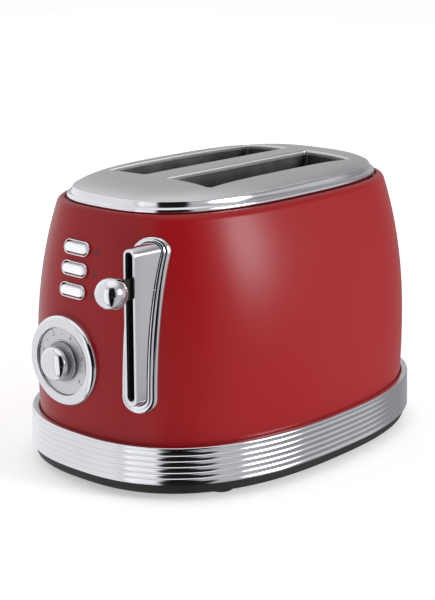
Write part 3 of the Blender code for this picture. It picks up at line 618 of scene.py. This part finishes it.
def shell_outline(z):
    """The shell's outer outline at a height."""
    rise = min(max((z - BAND_TOP) / (SHELL_TOP - BAND_TOP), 0.0), 1.0)
    roll = min(max((rise - SHOULDER_START) / (1 - SHOULDER_START), 0.0), 1.0)
    draw = TAPER_SHARE * rise**TAPER_POWER + (1 - TAPER_SHARE) * (1 - math.sqrt(1 - roll * roll))
    foot, top = SHELL_FOOT_OUTLINE, SHELL_TOP_OUTLINE
    length, width = (foot[i] + (top[i] - foot[i]) * draw for i in (0, 1))
    return length, width, foot[2] + (top[2] - foot[2]) * rise


def pill(size, centre, arc=14, run=16):
    """Points round a slot with round ends, in mm across the front: its width and height, and its centre."""
    width, height = size
    radius = min(width, height) / 2
    reach_y, reach_z = width / 2 - radius, height / 2 - radius
    start = -math.pi / 2 if width > height else 0.0
    points = []
    for side in (1, -1):
        for step in range(arc + 1):
            angle = start + math.pi * (step / arc + (0 if side > 0 else 1))
            y = centre[0] + side * reach_y + radius * math.cos(angle)
            z = centre[1] + side * reach_z + radius * math.sin(angle)
            points.append((y, z))
        last = points[-1]
        for step in range(1, run):
            share = step / run
            points.append((last[0] - 2 * side * reach_y * share, last[1] - 2 * side * reach_z * share))
    return points


def through(points, start, end):
    """A prism along X between two places, for cutting openings in the front."""
    return loft([[place(x, y, z) for y, z in points] for x in (start, end)])


def reshaded(made, level_at, keep=lambda spot: True):
    """Gives the skin the smooth normals of the formula that it follows, which openings would disturb."""
    mesh = made.data
    mesh.validate()
    normals = [corner.vector.copy() for corner in mesh.corner_normals]
    small = 0.02
    shifts = [Vector((small, 0, 0)), Vector((0, small, 0)), Vector((0, 0, small))]

    def slope(spot):
        return Vector([level_at(spot + shift) - level_at(spot - shift) for shift in shifts]).normalized()

    for face in mesh.polygons:
        centre = (face.center - Vector((MIDDLE, 0, 0))) / MM
        if not keep(centre):
            continue
        facing = slope(centre).dot(face.normal)
        if abs(facing) < 0.985:
            continue
        for corner in face.loop_indices:
            vertex = mesh.vertices[mesh.loops[corner].vertex_index].co
            spot = (vertex - Vector((MIDDLE, 0, 0))) / MM
            normals[corner] = slope(spot) * math.copysign(1.0, facing)
    made.modifiers.clear()
    mesh.normals_split_custom_set(normals)


def shell_level(spot):
    """Below 1 inside the shell and above 1 outside it."""
    length, width, power = shell_outline(spot.z)
    return abs(spot.x / length) ** power + abs(spot.y / width) ** power


red = Finish("satin_red_enamel", Specular_IOR_Level=0.24, IOR=1.5)
depth = red.noise(9.0, 2.0)
fleck = red.noise(1400.0, 2.0)
deep_red = red.mix(depth, (0.300, 0.006, 0.009), (0.335, 0.008, 0.011))
red.tones(fleck * 0.25, deep_red, (0.27, 0.006, 0.009))
red.feed("Roughness", 0.28 + 0.05 * red.noise(240.0, 3.0))
red.bump(red.noise(420.0, 1.5), 0.004 * MM)

rises = [0.0, 0.12, 0.24, 0.35, 0.45, 0.54, 0.62, 0.69, 0.75, 0.80, 0.845, 0.885, 0.92, 0.95, SHOULDER_START]
levels = [BAND_TOP + (SHELL_TOP - BAND_TOP) * rise for rise in rises]
roll_start = levels[-1]
for step in range(1, 13):
    levels.append(roll_start + (SHELL_TOP - roll_start) * math.sin(math.radians(90 * step / 12)))
rings = [oval(shell_outline(BAND_TOP), SHELL_BOTTOM)]
rings += [oval(shell_outline(z), z) for z in levels]
hem = ((-0.3, SHELL_TOP), (-0.6, SHELL_TOP - 0.1), (-0.85, SHELL_TOP - 0.4), (-0.9, SHELL_LIP + 0.4))
rings += [oval(SHELL_TOP_OUTLINE, z, grow) for grow, z in (*hem, (-1.2, SHELL_LIP))]
rings.append(oval(SHELL_LIP_OUTLINE, SHELL_LIP))
rings.append(oval(SHELL_LIP_OUTLINE, SHELL_LIP - SHELL_SHEET))
for z in reversed(levels[:-4]):
    rings.append(oval(shell_outline(z), min(z, SHELL_LIP - SHELL_SHEET), -SHELL_SHEET))
rings.append(oval(shell_outline(BAND_TOP), SHELL_BOTTOM, -SHELL_SHEET))
shell = piece("red_shell", loft(rings, closed=True), red, "housing", ["body_shell"], 50)
FRONT, INSIDE = -145.0, -105.0
openings = [through(pill(BUTTON_HOLE, (BUTTON_Y, z)), FRONT, INSIDE) for z in BUTTON_LEVELS.values()]
lever_hole = pill([size + 0.6 for size in LEVER_SLOT], (LEVER_Y, LEVER_SLOT_MIDDLE))
openings.append(through(lever_hole, FRONT, INSIDE))
openings.append(turned([(SHAFT_HOLE, FRONT), (SHAFT_HOLE, INSIDE)], "X", DIAL, 40))
openings.append(turned([(GLAND_HOLE, 125.0), (GLAND_HOLE, 145.0)], "X", GLAND, 48))
openings.append(block((105, -door_side, 2), (145, door_side, TRAY_TOP + 0.4)))
opened(shell, openings, 50)
reshaded(shell, shell_level, lambda spot: BAND_TOP < spot.z < HEM_START)


# Top plate.
# A pressing of stainless steel, brushed to a satin, nearly flat and rolled down all round. Each bread slot
# has a collar turned down through a small radius, and a sleeve of dark, cloudy steel below it.
PLATE_EDGE = 178.6
PLATE_CROWN = 6.4
CROWN_POWER = 8
PLATE_SHEET = 1.2
PLATE_OUTLINE = (111.8, 63.2, 2.8)
PLATE_GROW = 0.3
EDGE_ROUND = 0.9
SLOT_HALF_LENGTH = 70.8
SLOT_MIDDLE = 2.0
SLOT_NEAR = 8.4
SLOT_FAR = 45.3
SLOT_CORNER = 2.4
ROLL = 1.9
COLLAR_IN = 0.1
COLLAR_OUT = COLLAR_IN + 0.8
COLLAR_DEPTH = 3.4
SLEEVE_IN = 0.15
SLEEVE_BOTTOM = 171.8

steel = Finish("brushed_stainless_steel", Metallic=1.0)
brushing = steel.noise(1.0, 3.0, steel.stretched(22.0, 2600.0, 900.0))
steel.tones(brushing, (0.56, 0.56, 0.565), (0.66, 0.66, 0.665))
steel.feed("Roughness", 0.30 + 0.14 * brushing)
steel.bump(brushing, 0.006 * MM)

# Dark grey steel with a cloudy tone, for the sleeves below the slots.
dark_sleeve = Finish("dark_cloudy_steel", Metallic=1.0)
sleeve_clouding = dark_sleeve.noise(60.0, 4.0)
dark_sleeve.tones(sleeve_clouding, (0.10, 0.095, 0.10), (0.24, 0.22, 0.215))
dark_sleeve.feed("Roughness", 0.32 + 0.2 * sleeve_clouding)


def plate_share(x, y):
    """0 in the plate's middle and 1 at its edge."""
    length, width, power = PLATE_OUTLINE
    return (abs(x / length) ** power + abs(y / width) ** power) ** (1 / power)


def plate_height(x, y):
    """The height of the plate's face at a place."""
    return PLATE_EDGE + PLATE_CROWN * (1 - min(plate_share(x, y), 1.0) ** CROWN_POWER)


def on_crown(spot):
    """Whether a place lies inside the plate's rolled edge."""
    return plate_share(spot.x, spot.y) < 0.98


def crowned(share, drop=0.0):
    """Points round the crown at a share of the plate's outline."""
    outline = (PLATE_OUTLINE[0] * share, PLATE_OUTLINE[1] * share, PLATE_OUTLINE[2])
    return oval(outline, PLATE_EDGE + PLATE_CROWN * (1 - share**CROWN_POWER) - drop)


def slot_ring(side, grow, height_at):
    """Points round a bread slot, grown by a distance, at the height that each place has."""
    near, far = sorted((side * SLOT_NEAR, side * SLOT_FAR))
    middle = (near + far) / 2
    half_x, half_y = SLOT_HALF_LENGTH + grow, (far - near) / 2 + grow
    corner = SLOT_CORNER + grow
    points = []
    for sx, sy, start, steps in ((1, -1, -90, 12), (1, 1, 0, 36), (-1, 1, 90, 12), (-1, -1, 180, 36)):
        centre = (SLOT_MIDDLE + sx * (half_x - corner), middle + sy * (half_y - corner))
        for step in range(7):
            angle = math.radians(start + 15 * step)
            points.append((centre[0] + corner * math.cos(angle), centre[1] + corner * math.sin(angle)))
        last = points[-1]
        run_x = -2 * (half_x - corner) if sx == sy == 1 else 2 * (half_x - corner) if sx == sy == -1 else 0
        run_y = 2 * (half_y - corner) * (1 if sx > 0 else -1) if sx != sy else 0
        points += [(last[0] + run_x * k / steps, last[1] + run_y * k / steps) for k in range(1, steps)]
    return [place(x, y, height_at(x, y)) for x, y in points]


rings = [crowned(share, PLATE_SHEET) for share in (0.05, 0.4, 0.6, 0.75, 0.85, 0.92, 0.97)]
rings.append(oval(PLATE_OUTLINE, PLATE_EDGE - 1.0, PLATE_GROW - EDGE_ROUND))
for step in range(7):
    angle = math.radians(90 * step / 6)
    drop, inset = EDGE_ROUND * (1 - math.sin(angle)), EDGE_ROUND * (1 - math.cos(angle))
    rings.append(oval(PLATE_OUTLINE, PLATE_EDGE - drop, PLATE_GROW - inset))
shares = [0.985, 0.97, 0.95, 0.93, 0.905, 0.88, 0.85, 0.82, 0.78, 0.74, 0.7, 0.65, 0.6]
rings += [crowned(share) for share in (*shares, 0.5, 0.4, 0.3, 0.15, 0.05)]
plate = piece("top_pressing", loft(rings), steel, "housing", ["top_plate"], 50)
cutters = [loft([slot_ring(side, ROLL, lambda x, y, z=z: z) for z in (160.0, 195.0)]) for side in (-1, 1)]
opened(plate, cutters, 50)
reshaded(plate, lambda spot: spot.z - plate_height(spot.x, spot.y), on_crown)
for side, name in ((-1, "left"), (1, "right")):
    bend = [(ROLL + 0.5, -0.08)]
    radius = ROLL - COLLAR_IN
    for step in range(8):
        angle = math.radians(90 * step / 7)
        bend.append((ROLL - radius * math.sin(angle), -radius * (1 - math.cos(angle))))
    bend += [(COLLAR_IN, -COLLAR_DEPTH), (COLLAR_OUT, -COLLAR_DEPTH), (COLLAR_OUT, -2.4), (ROLL + 0.5, -0.9)]
    rings = [slot_ring(side, grow, lambda x, y, h=h: plate_height(x, y) + h) for grow, h in bend]
    piece(f"slot_collar_{name}", loft(rings, closed=True), steel, "housing", (), 40)
    rings = [slot_ring(side, grow, lambda x, y: SLEEVE_BOTTOM) for grow in (SLEEVE_IN, COLLAR_OUT)]
    for grow in (COLLAR_OUT, SLEEVE_IN):
        rings.append(slot_ring(side, grow, lambda x, y: plate_height(x, y) - COLLAR_DEPTH - 0.05))
    piece(f"slot_sleeve_{name}", loft(rings, closed=True), dark_sleeve, "housing", (), 40)


# Trim ring.
# A stepped ring of chrome plated plastic that closes the joint between the plate and the shell: a leaning
# wall, then a full bead that rests on the shell's sunk lip, a little inside its hem.
section = [(0.4, 178.3), (0.8, 178.1), (1.15, 177.4), (1.7, 175.9), (2.15, 174.95), (2.35, 174.55)]
section += [(2.75, 174.6), (3.3, 174.6), (4.0, 174.15), (4.45, 173.3), (4.55, 172.3), (4.3, 171.2)]
section += [(3.6, 170.2), (2.6, 169.6), (-2.0, 169.6), (-2.0, 176.8), (-0.4, 177.4)]
rings = [oval(PLATE_OUTLINE, z, grow) for grow, z in eased(section, 0.45, 4, closed=True)]
trim = loft(rings, closed=True)
piece("stepped_trim_ring", trim, chrome, "housing", ["top_trim_ring"], 50)


# Lever surround.
# Two chrome plated mouldings screwed on from inside: a flange that hugs the shell, and a tall housing that
# holds the lever's slot forward of it. A black liner hides the sheet's edges inside the slot.
HOUSING_FRONT = -135.5
HOUSING_BACK = -112.0
SLOT_PILL = (LEVER_SLOT, (LEVER_Y, LEVER_SLOT_MIDDLE))
FRONT_PILL = ((9.4, 95.8), (LEVER_Y, 107.8))
BACK_PILL = ((13.6, 100.0), (LEVER_Y, 107.4))
FLANGE_PILL = ((19.5, 106.0), (LEVER_Y, 106.9))


def skin(y, z, above=0.0):
    """The place on the shell's front, and a height above it."""
    length, width, power = shell_outline(z)
    return place(-length * (1 - abs(y / width) ** power) ** (1 / power) - above, y, z)


def flank(front, back, above):
    """Where the straight line from the housing's front edge to its back edge meets the skin."""
    low, high = 0.0, 1.0
    for _ in range(24):
        share = (low + high) / 2
        y, z = (a + (b - a) * share for a, b in zip(front, back))
        x = HOUSING_FRONT + (HOUSING_BACK - HOUSING_FRONT) * share
        if place(x, y, z).x < skin(y, z, above).x:
            low = share
        else:
            high = share
    return y, z, share


def pill_ring(shape, change, x):
    """A ring round a pill whose width and height are changed by a distance, at a place along X."""
    size, centre = shape
    return [place(x, y, z) for y, z in pill([length + change for length in size], centre)]


front_edge, back_edge = pill(*FRONT_PILL), pill(*BACK_PILL)
rings = [[skin(y, z, 0.1) for y, z in pill(*SLOT_PILL)], pill_ring(SLOT_PILL, 0.0, HOUSING_FRONT + 0.5)]
for change, x in ((0.25, 0.12), (0.7, 0.0)):
    rings.append(pill_ring(SLOT_PILL, change, HOUSING_FRONT + x))
for change, x in ((-1.3, 0.0), (-0.5, 0.12), (-0.12, 0.45)):
    rings.append(pill_ring(FRONT_PILL, change, HOUSING_FRONT + x))
for reach in (0.08, 0.3, 0.55, 0.8, 0.95, 1.0):
    ring = []
    for front, back in zip(front_edge, back_edge):
        *_, share = flank(front, back, 0.1)
        y, z = (a + (b - a) * share * reach for a, b in zip(front, back))
        ring.append(place(HOUSING_FRONT + (HOUSING_BACK - HOUSING_FRONT) * share * reach, y, z))
    rings.append(ring)
piece("lever_tower", loft(rings, closed=True), chrome, "housing", ["lever_housing"], 40)

inner_edge = [flank(front, back, 2.2)[:2] for front, back in zip(front_edge, back_edge)]
INNER_GAP = 0.45
ARC_LOW, ARC_HIGH = 64.0, 150.0
section = [(0.0, 0.1), (0.0, 1.0), (0.07, 1.75), (0.22, 2.25), (0.45, 2.45), (0.5, 2.2), (0.56, 2.2)]
section += [(0.62, 2.7), (0.93, 2.85), (1.0, 2.6), (1.0, 0.1)]
outer_edge = pill(*FLANGE_PILL)
rings = []
for share, above in eased(section, 0.12, 3, closed=True):
    ring = []
    for (outer_y, outer_z), (inner_y, inner_z) in zip(outer_edge, inner_edge):
        nearest = min(max(inner_z, ARC_LOW), ARC_HIGH)
        away = Vector((inner_y - LEVER_Y, inner_z - nearest)).normalized() * INNER_GAP
        y = outer_y + (inner_y + away.x - outer_y) * share
        z = outer_z + (inner_z + away.y - outer_z) * share
        ring.append(skin(y, z, above))
    rings.append(ring)
flange = loft(rings, closed=True)
piece("lever_flange_moulding", flange, chrome, "housing", ["lever_flange"], 40)

rings = []
front, back = HOUSING_FRONT + 0.9, HOUSING_BACK + 6.0
for change, x in ((-0.6, front), (-0.6, back), (-1.8, back), (-1.8, front + 0.4), (-1.3, front)):
    rings.append(pill_ring(SLOT_PILL, change, x))
liner = loft(rings, closed=True)
piece("slot_liner", liner, black, "housing", ["lever_slot_liner"])


# Lever.
# A flat black arm moulded in plastic comes out of the slot, and a hollow chromed ball with a flat back is
# pressed on its end for the thumb.
LEVER_Z = 132.0
BALL_X = -150.0
BALL_RADIUS = 9.75
BALL_FLAT = 8.4
ARM_HALF_HEIGHT = 6.2
ARM_HALF_WIDTH = 1.5
arm_low, arm_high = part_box("lever_arm")
ARM_OUT = (arm_low.x - MIDDLE) / MM
ARM_IN = (arm_high.x - MIDDLE) / MM
arm = block((ARM_OUT, LEVER_Y - ARM_HALF_WIDTH, LEVER_Z - ARM_HALF_HEIGHT),
            (ARM_IN, LEVER_Y + ARM_HALF_WIDTH, LEVER_Z + ARM_HALF_HEIGHT), 0.35)
piece("black_lever_arm", arm, black, "carriage", ["lever_arm"])
profile = []
for step in range(1, 40):
    angle = math.pi * step / 40
    x = -BALL_RADIUS * math.cos(angle)
    if x < BALL_FLAT:
        profile.append((BALL_RADIUS * math.sin(angle), BALL_X + x))
profile.append((math.sqrt(BALL_RADIUS**2 - BALL_FLAT**2), BALL_X + BALL_FLAT))
ball = turned(profile, "X", (LEVER_Y, LEVER_Z), 96)
piece("lever_ball", ball, chrome, "carriage", ["lever_knob"], 40)


# Browning dial.
# A broad chrome bezel holds a spun silver plate with a printed scale. On the shaft turns a steel knob with a
# ribbed grip, closed by a domed chrome cap.
BEZEL_FRONT = -139.0
PLATE_FACE = -136.7
SCALE_RADIUS = 17.4
OUTER_DOTS = 20.2
DOT = 0.42
FIGURE = 3.3
NUMERALS = 6
SCALE_SWEEP = 250.0

section = [(28.6, -124.0), (28.6, -134.6), (28.4, -136.2), (27.7, -137.4), (26.8, -138.2), (25.5, -138.75)]
section += [(24.0, BEZEL_FRONT), (22.4, -138.8), (21.6, -138.4), (21.4, -138.0), (21.4, -124.0)]
bezel = turned(eased(section, 0.4, 4), "X", DIAL, 144, closed=True)
piece("dial_ring", bezel, chrome, "housing", ["dial_bezel"], 50)


def spun(name, dark, light, rough):
    """Metal turned on a lathe, with fine rings round the dial's axis."""
    made = Finish(name, Metallic=1.0)
    across = made.node("VectorMath", {"operation": "SUBTRACT"}, _0=made.place, _1=place(0, *DIAL))
    flat = made.node("VectorMath", {"operation": "MULTIPLY"}, _0=across, _1=(0.0, 1.0, 1.0))
    radius = made.node("VectorMath", {"operation": "LENGTH"}, output="Value", _0=flat)
    line = made.node("CombineXYZ", X=radius * 2400.0)
    rings_noise = made.noise(1.0, 3.0, line)
    made.tones(rings_noise, dark, light)
    made.feed("Roughness", rough + 0.16 * rings_noise)
    made.bump(rings_noise, 0.008 * MM)
    return made


silver = spun("spun_silver", (0.60, 0.605, 0.62), (0.74, 0.745, 0.755), 0.34)
section = [(4.9, -135.6), (21.1, -135.6), (21.1, PLATE_FACE), (13.8, PLATE_FACE), (13.6, PLATE_FACE + 0.15)]
section.append((4.9, PLATE_FACE + 0.15))
plate_of_dial = turned(eased(section, 0.12, 2, closed=True), "X", DIAL, 144, closed=True)
piece("spun_dial_plate", plate_of_dial, silver, "housing", ["dial_plate"], 30)

ink = Finish("dark_printing_ink", Specular_IOR_Level=0.3)
ink.tones(ink.noise(900.0), (0.035, 0.03, 0.03), (0.07, 0.06, 0.06))
ink.feed("Roughness", 0.5 + 0.2 * ink.noise(1500.0))


def numeral(text, size, y, z, x):
    """A printed figure on the front, as a thin mesh."""
    letters = bpy.data.curves.new("figure", "FONT")
    letters.body = text
    letters.size = size * MM
    letters.extrude = 0.02 * MM
    letters.align_x = "CENTER"
    letters.align_y = "CENTER"
    holder = put("figure", letters)
    mesh = settled(holder)
    bpy.data.objects.remove(holder, do_unlink=True)
    facing_front = Matrix(((0, 0, -1), (-1, 0, 0), (0, 1, 0))).to_4x4()
    mesh.transform(Matrix.Translation(place(x, y, z)) @ facing_front)
    bm = bmesh.new()
    bm.from_mesh(mesh)
    bpy.data.meshes.remove(mesh)
    return bm


def on_scale(share, radius):
    """A spot on the dial's scale, whose start is 0 and whose end is 1."""
    turn = math.radians(SCALE_SWEEP * (share - 0.5))
    return DIAL[0] - radius * math.sin(turn), DIAL[1] + radius * math.cos(turn)


marks = []
for i in range(NUMERALS):
    y, z = on_scale(i / (NUMERALS - 1), SCALE_RADIUS)
    marks.append(numeral(str(i + 1), FIGURE, y, z, PLATE_FACE - 0.02))
for i in range(2 * NUMERALS - 1):
    spot = on_scale(i / (2 * NUMERALS - 2), OUTER_DOTS if i % 2 == 0 else SCALE_RADIUS)
    marks.append(turned([(DOT, PLATE_FACE - 0.04), (DOT, PLATE_FACE + 0.02)], "X", spot, 20))
piece("dial_scale", merged(marks), ink, "housing")

grip_steel = spun("knob_steel", (0.26, 0.265, 0.28), (0.38, 0.385, 0.40), 0.2)
RIBS = 40
RIB_STEPS = RIBS * 8
profile = [(3.0, -121.5, 0), (3.0, -136.9, 0), (12.4, -136.9, 0), (12.6, -137.05, 0), (12.6, -137.6, 0)]
profile += [(12.4, -137.9, 0), (11.4, -138.1, 0), (11.2, -138.3, 0), (11.2, -138.7, 0), (11.0, -138.95, 0)]
profile += [(10.0, -139.1, 0), (9.9, -139.4, 0), (9.9, -139.6, 0.5), (9.9, -140.7, 0.5)]
profile += [(9.9, -140.85, 0.1), (9.9, -141.0, 0.5), (9.9, -142.0, 0.5), (9.9, -142.2, 0), (9.9, -142.5, 0)]
rings = []
for radius, x, rib in profile:
    ring = []
    for step in range(RIB_STEPS):
        angle = 2 * math.pi * step / RIB_STEPS
        r = radius - rib * (0.5 - 0.5 * math.cos(RIBS * angle)) ** 0.7
        ring.append(place(x, DIAL[0] + r * math.cos(angle), DIAL[1] + r * math.sin(angle)))
    rings.append(ring)
piece("ribbed_knob", loft(rings), grip_steel, "browning_dial", ["browning_knob"], 45)
profile = [(9.2, -142.1), (10.5, -142.1), (10.75, -142.4), (10.8, -142.9), (10.75, -143.2)]
for step in range(1, 24):
    angle = math.radians(90 * step / 24)
    profile.append((10.7 * math.cos(angle) ** 0.9, -143.2 - 6.3 * math.sin(angle)))
cap = turned(profile, "X", DIAL, 96)
piece("domed_cap", cap, chrome, "browning_dial", ["knob_cap"], 50)


# Buttons.
# Three milky acrylic buttons, crowned and polished, with a faint painted glow, each in a chrome plated rim
# that follows the shell.
# Small printed signs beside them stand for frozen bread, warming and stopping.
BUTTON = (20.0, 6.3)
RIM = (23.0, 9.2)
BUTTON_BACK = -118.2
# The acrylic has a faint white emission: a painted glow that brightens the buttons, which hold no lamp.
lens = Finish("milky_acrylic_painted_glow", Coat_Weight=0.5, Coat_Roughness=0.05, Emission_Strength=0.22)
lens.shader.inputs["Subsurface Weight"].default_value = 0.15
lens.shader.inputs["Emission Color"].default_value = (0.95, 0.96, 1.0, 1.0)
lens.shader.inputs["Subsurface Radius"].default_value = (0.002, 0.002, 0.002)
lens.tones(lens.noise(160.0), (0.86, 0.87, 0.90), (0.93, 0.935, 0.95))
lens.feed("Roughness", 0.22 + 0.1 * lens.noise(600.0))
lens.bump(lens.noise(300.0, 1.0), 0.008 * MM)


def skin_rings(section, size, centre):
    """Rings round a pill on the skin. The section is (inset from the pill's edge, height above the skin)."""
    rings = []
    for inset, above in section:
        ring = pill([length - 2 * inset for length in size], centre)
        rings.append([skin(y, z, above) for y, z in ring])
    return rings


for name, z in BUTTON_LEVELS.items():
    centre = (BUTTON_Y, z)
    section = [(0.0, 0.1), (0.0, 1.1), (0.3, 1.7), (0.62, 1.55), (0.85, 1.1), (0.87, 0.1)]
    rim = loft(skin_rings(eased(section, 0.2, 3, closed=True), RIM, centre), closed=True)
    piece(f"button_rim_{name}", rim, chrome, "housing", [f"button_bezel_{name}"], 50)
    section = [(0.45, 0.4), (0.5, 1.75), (0.66, 2.1), (0.95, 2.3), (1.4, 2.42), (2.0, 2.5), (2.8, 2.52)]
    rings = [[place(BUTTON_BACK, y, z) for y, z in pill(BUTTON, centre)]]
    rings += skin_rings(section, BUTTON, centre)
    piece(f"milky_button_{name}", loft(rings), lens, f"{name}_button", [f"button_{name}"], 45)


def printed(strokes, half_width=0.22, above=0.03):
    """Printed strokes on the skin. Each is a list of (y, z) in mm."""
    ribbons = []
    for stroke in strokes:
        points = [Vector(point) for point in stroke]
        rings = []
        for i, point in enumerate(points):
            along = (points[min(i + 1, len(points) - 1)] - points[max(i - 1, 0)]).normalized()
            side = Vector((-along.y, along.x)) * half_width
            left, right = point - side, point + side
            rings.append([skin(*left, above), skin(*right, above), skin(*right, -0.05), skin(*left, -0.05)])
        ribbons.append(loft(rings))
    return merged(ribbons)


def pointing(degrees):
    """A direction of length one across the front."""
    return Vector((math.cos(math.radians(degrees)), math.sin(math.radians(degrees))))


SIGN_Y = -6.6
SIGN_DROP = 0.4
SIGN_SIZE = 2.2
strokes = []
centre = Vector((SIGN_Y, BUTTON_LEVELS["top"] - SIGN_DROP))
for spoke in range(6):
    out = pointing(60 * spoke + 30)
    strokes.append([centre + out * 0.15, centre + out * SIGN_SIZE])
    fork = centre + out * SIGN_SIZE * 0.6
    for turn in (-50, 50):
        strokes.append([fork, fork + Matrix.Rotation(math.radians(turn), 2) @ out * SIGN_SIZE * 0.35])
centre = Vector((SIGN_Y, BUTTON_LEVELS["middle"] - SIGN_DROP))
for i in (-1, 0, 1):
    wave = [(i * 1.5 + 0.5 * math.sin(math.pi * k / 5), (k / 5 - 1) * SIGN_SIZE) for k in range(11)]
    strokes.append([centre + Vector(point) for point in wave])
centre = Vector((SIGN_Y, BUTTON_LEVELS["bottom"] - SIGN_DROP))
strokes.append([centre + pointing(15 * k) * SIGN_SIZE for k in range(25)])
for turn in (45, 135):
    out = pointing(turn) * SIGN_SIZE * 0.5
    strokes.append([centre - out, centre + out])
piece("printed_signs", printed(strokes), ink, "housing")


# Cord gland.
# A moulded strain relief bush snapped into the back of the shell, with rings that stop it pulling through.
section = [(5.2, 129.0), (5.2, 135.8), (8.0, 135.8), (8.0, 137.2), (7.4, 137.6), (7.4, 138.0), (6.6, 138.6)]
section += [(4.2, 138.6), (3.6, 138.0), (3.6, 129.0)]
gland = turned(eased(section, 0.3, 3, closed=True), "X", GLAND, 72, closed=True)
piece("strain_relief_bush", gland, black, "housing", ["cord_gland"])


# Crumb tray.
# A shallow folded tray of aluminised sheet that slides out at the back, with a black plastic pull that
# carries on the curve of the base.
refinished(aluminised, "crumb_tray")
TRAY_END = 121.3
pull_low, pull_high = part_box("tray_pull")
PULL_LOW, PULL_HIGH = pull_low.z / MM, pull_high.z / MM
outline = []
for i in range(41):
    y = TRAY_HALF_WIDTH * (1 - 2 * i / 40)
    bow = (1 - abs(y / BAND_OUTLINE[1]) ** BAND_OUTLINE[2]) ** (1 / BAND_OUTLINE[2])
    outline.append((BAND_OUTLINE[0] * bow - 1.2, y))
back = [(TRAY_END, -TRAY_HALF_WIDTH), (TRAY_END, TRAY_HALF_WIDTH)]
rings = []
section = [(0.5, PULL_LOW), (0.0, PULL_LOW + 0.5), (0.0, PULL_HIGH - 0.5), (0.5, PULL_HIGH)]
for inset, z in eased(section, 0.3, 3):
    rings.append([place(x, y, z) for x, y in back] + [place(x - inset, y, z) for x, y in outline])
piece("crumb_tray_pull", loft(rings), black, "tray", ["tray_pull"], 40)


# Studio.
# A pale floor, and a surround that is plain white to the lens. What the chrome mirrors is painted into it:
# soft boxes, a small hot lamp, a bright ceiling, and the dark gap that the camera looks in through.
FLOOR_HALF = 3.0
floor_mesh = bpy.data.meshes.new("floor")
bm = bmesh.new()
bmesh.ops.create_grid(bm, x_segments=8, y_segments=8, size=FLOOR_HALF)
bm.to_mesh(floor_mesh)
bm.free()
floor = put("floor", floor_mesh)
pale = Finish("pale_floor", Roughness=1.0, Specular_IOR_Level=0.0, Emission_Strength=0.42)
pale.shader.inputs["Emission Color"].default_value = (1.0, 1.0, 1.0, 1.0)
pale.tones(pale.noise(3.0), (0.86, 0.86, 0.86), (0.88, 0.88, 0.88))
floor_mesh.materials.append(pale.material)
floor.visible_glossy = False

world = bpy.data.worlds.new("studio")
bpy.context.scene.world = world
world.use_nodes = True
studio = Graph(world.node_tree)
world.node_tree.nodes.clear()
toward = studio.node("TexCoord", output="Generated")
east = studio.node("SeparateXYZ", output="X", Vector=toward)
north = studio.node("SeparateXYZ", output="Y", Vector=toward)
up = studio.node("SeparateXYZ", output="Z", Vector=toward)
bearing = north.math("ARCTAN2", north, east) * (180 / math.pi)
bearing = bearing + bearing.math("LESS_THAN", bearing, 0.0) * 360.0
height = up.math("ARCSINE", up) * (180 / math.pi)


def window(value, low, high, soft):
    """1 between two bounds, with soft edges."""
    return value.ramp(low - soft, low + soft) * (1 - value.ramp(high - soft, high + soft))


low_gap = window(bearing, 209.0, 244.0, 2.0) * (1 - height.ramp(-15.0, -11.0))
high_gap = window(bearing, 206.0, 256.0, 4.0) * window(height, -13.0, 54.0, 3.0)
left_box = window(bearing, 172.0, 206.0, 5.0) * window(height, -60.0, 42.0, 10.0)
front_box = window(bearing, 62.0, 172.0, 14.0) * (1 - height.ramp(40.0, 60.0))
lever_side = window(bearing, 304.0, 336.0, 8.0) * window(height, -18.5, 20.0, 3.0)
band_side = window(bearing, 250.0, 300.0, 12.0) * window(height, -90.0, 40.0, 12.0)
lamp = window(bearing, 281.0, 301.0, 7.0) * window(height, 6.0, 26.0, 6.0)
ceiling = height.ramp(35.0, 75.0)
behind = window(bearing, 5.0, 95.0, 30.0) * window(height, -5.0, 60.0, 20.0)
far_side = window(bearing, 270.0, 345.0, 25.0) * window(height, -30.0, 60.0, 20.0)
camera_ray = studio.node("LightPath", output="Is Camera Ray")
matt_ray = studio.node("LightPath", output="Is Diffuse Ray")
light = 0.32 + 0.75 * left_box + 0.6 * front_box + 0.32 * lever_side + 0.25 * band_side + 0.8 * ceiling
light = light + 0.2 * behind + (16.0 - 14.0 * matt_ray) * lamp + 0.28 * matt_ray * far_side
near_side = window(bearing, 185.0, 265.0, 20.0)
light = light * (1 - 0.985 * low_gap) * (1 - 0.97 * high_gap) * (1 - 0.8 * matt_ray * near_side)
strength = light * (1 - camera_ray) + camera_ray
surround = studio.node("Background", Color=(0.985, 0.985, 1.0, 1.0), Strength=strength)
output = world.node_tree.nodes.new("ShaderNodeOutputWorld")
world.node_tree.links.new(surround.socket, output.inputs["Surface"])

LENS_PLACE = (-735.055, -646.65, 351.23)
LENS_TARGET = (14.645, 12.79, 88.0)
camera_data = bpy.data.cameras.new("camera")
camera_data.lens = 91.34
camera_data.sensor_width = 36.0
camera = put("camera", camera_data)
camera.location = Vector(LENS_PLACE) * MM
view_line = Vector(LENS_TARGET) * MM - camera.location
camera.rotation_euler = view_line.to_track_quat("-Z", "Y").to_euler()
bpy.context.scene.camera = camera
bpy.context.scene.view_settings.view_transform = "Standard"
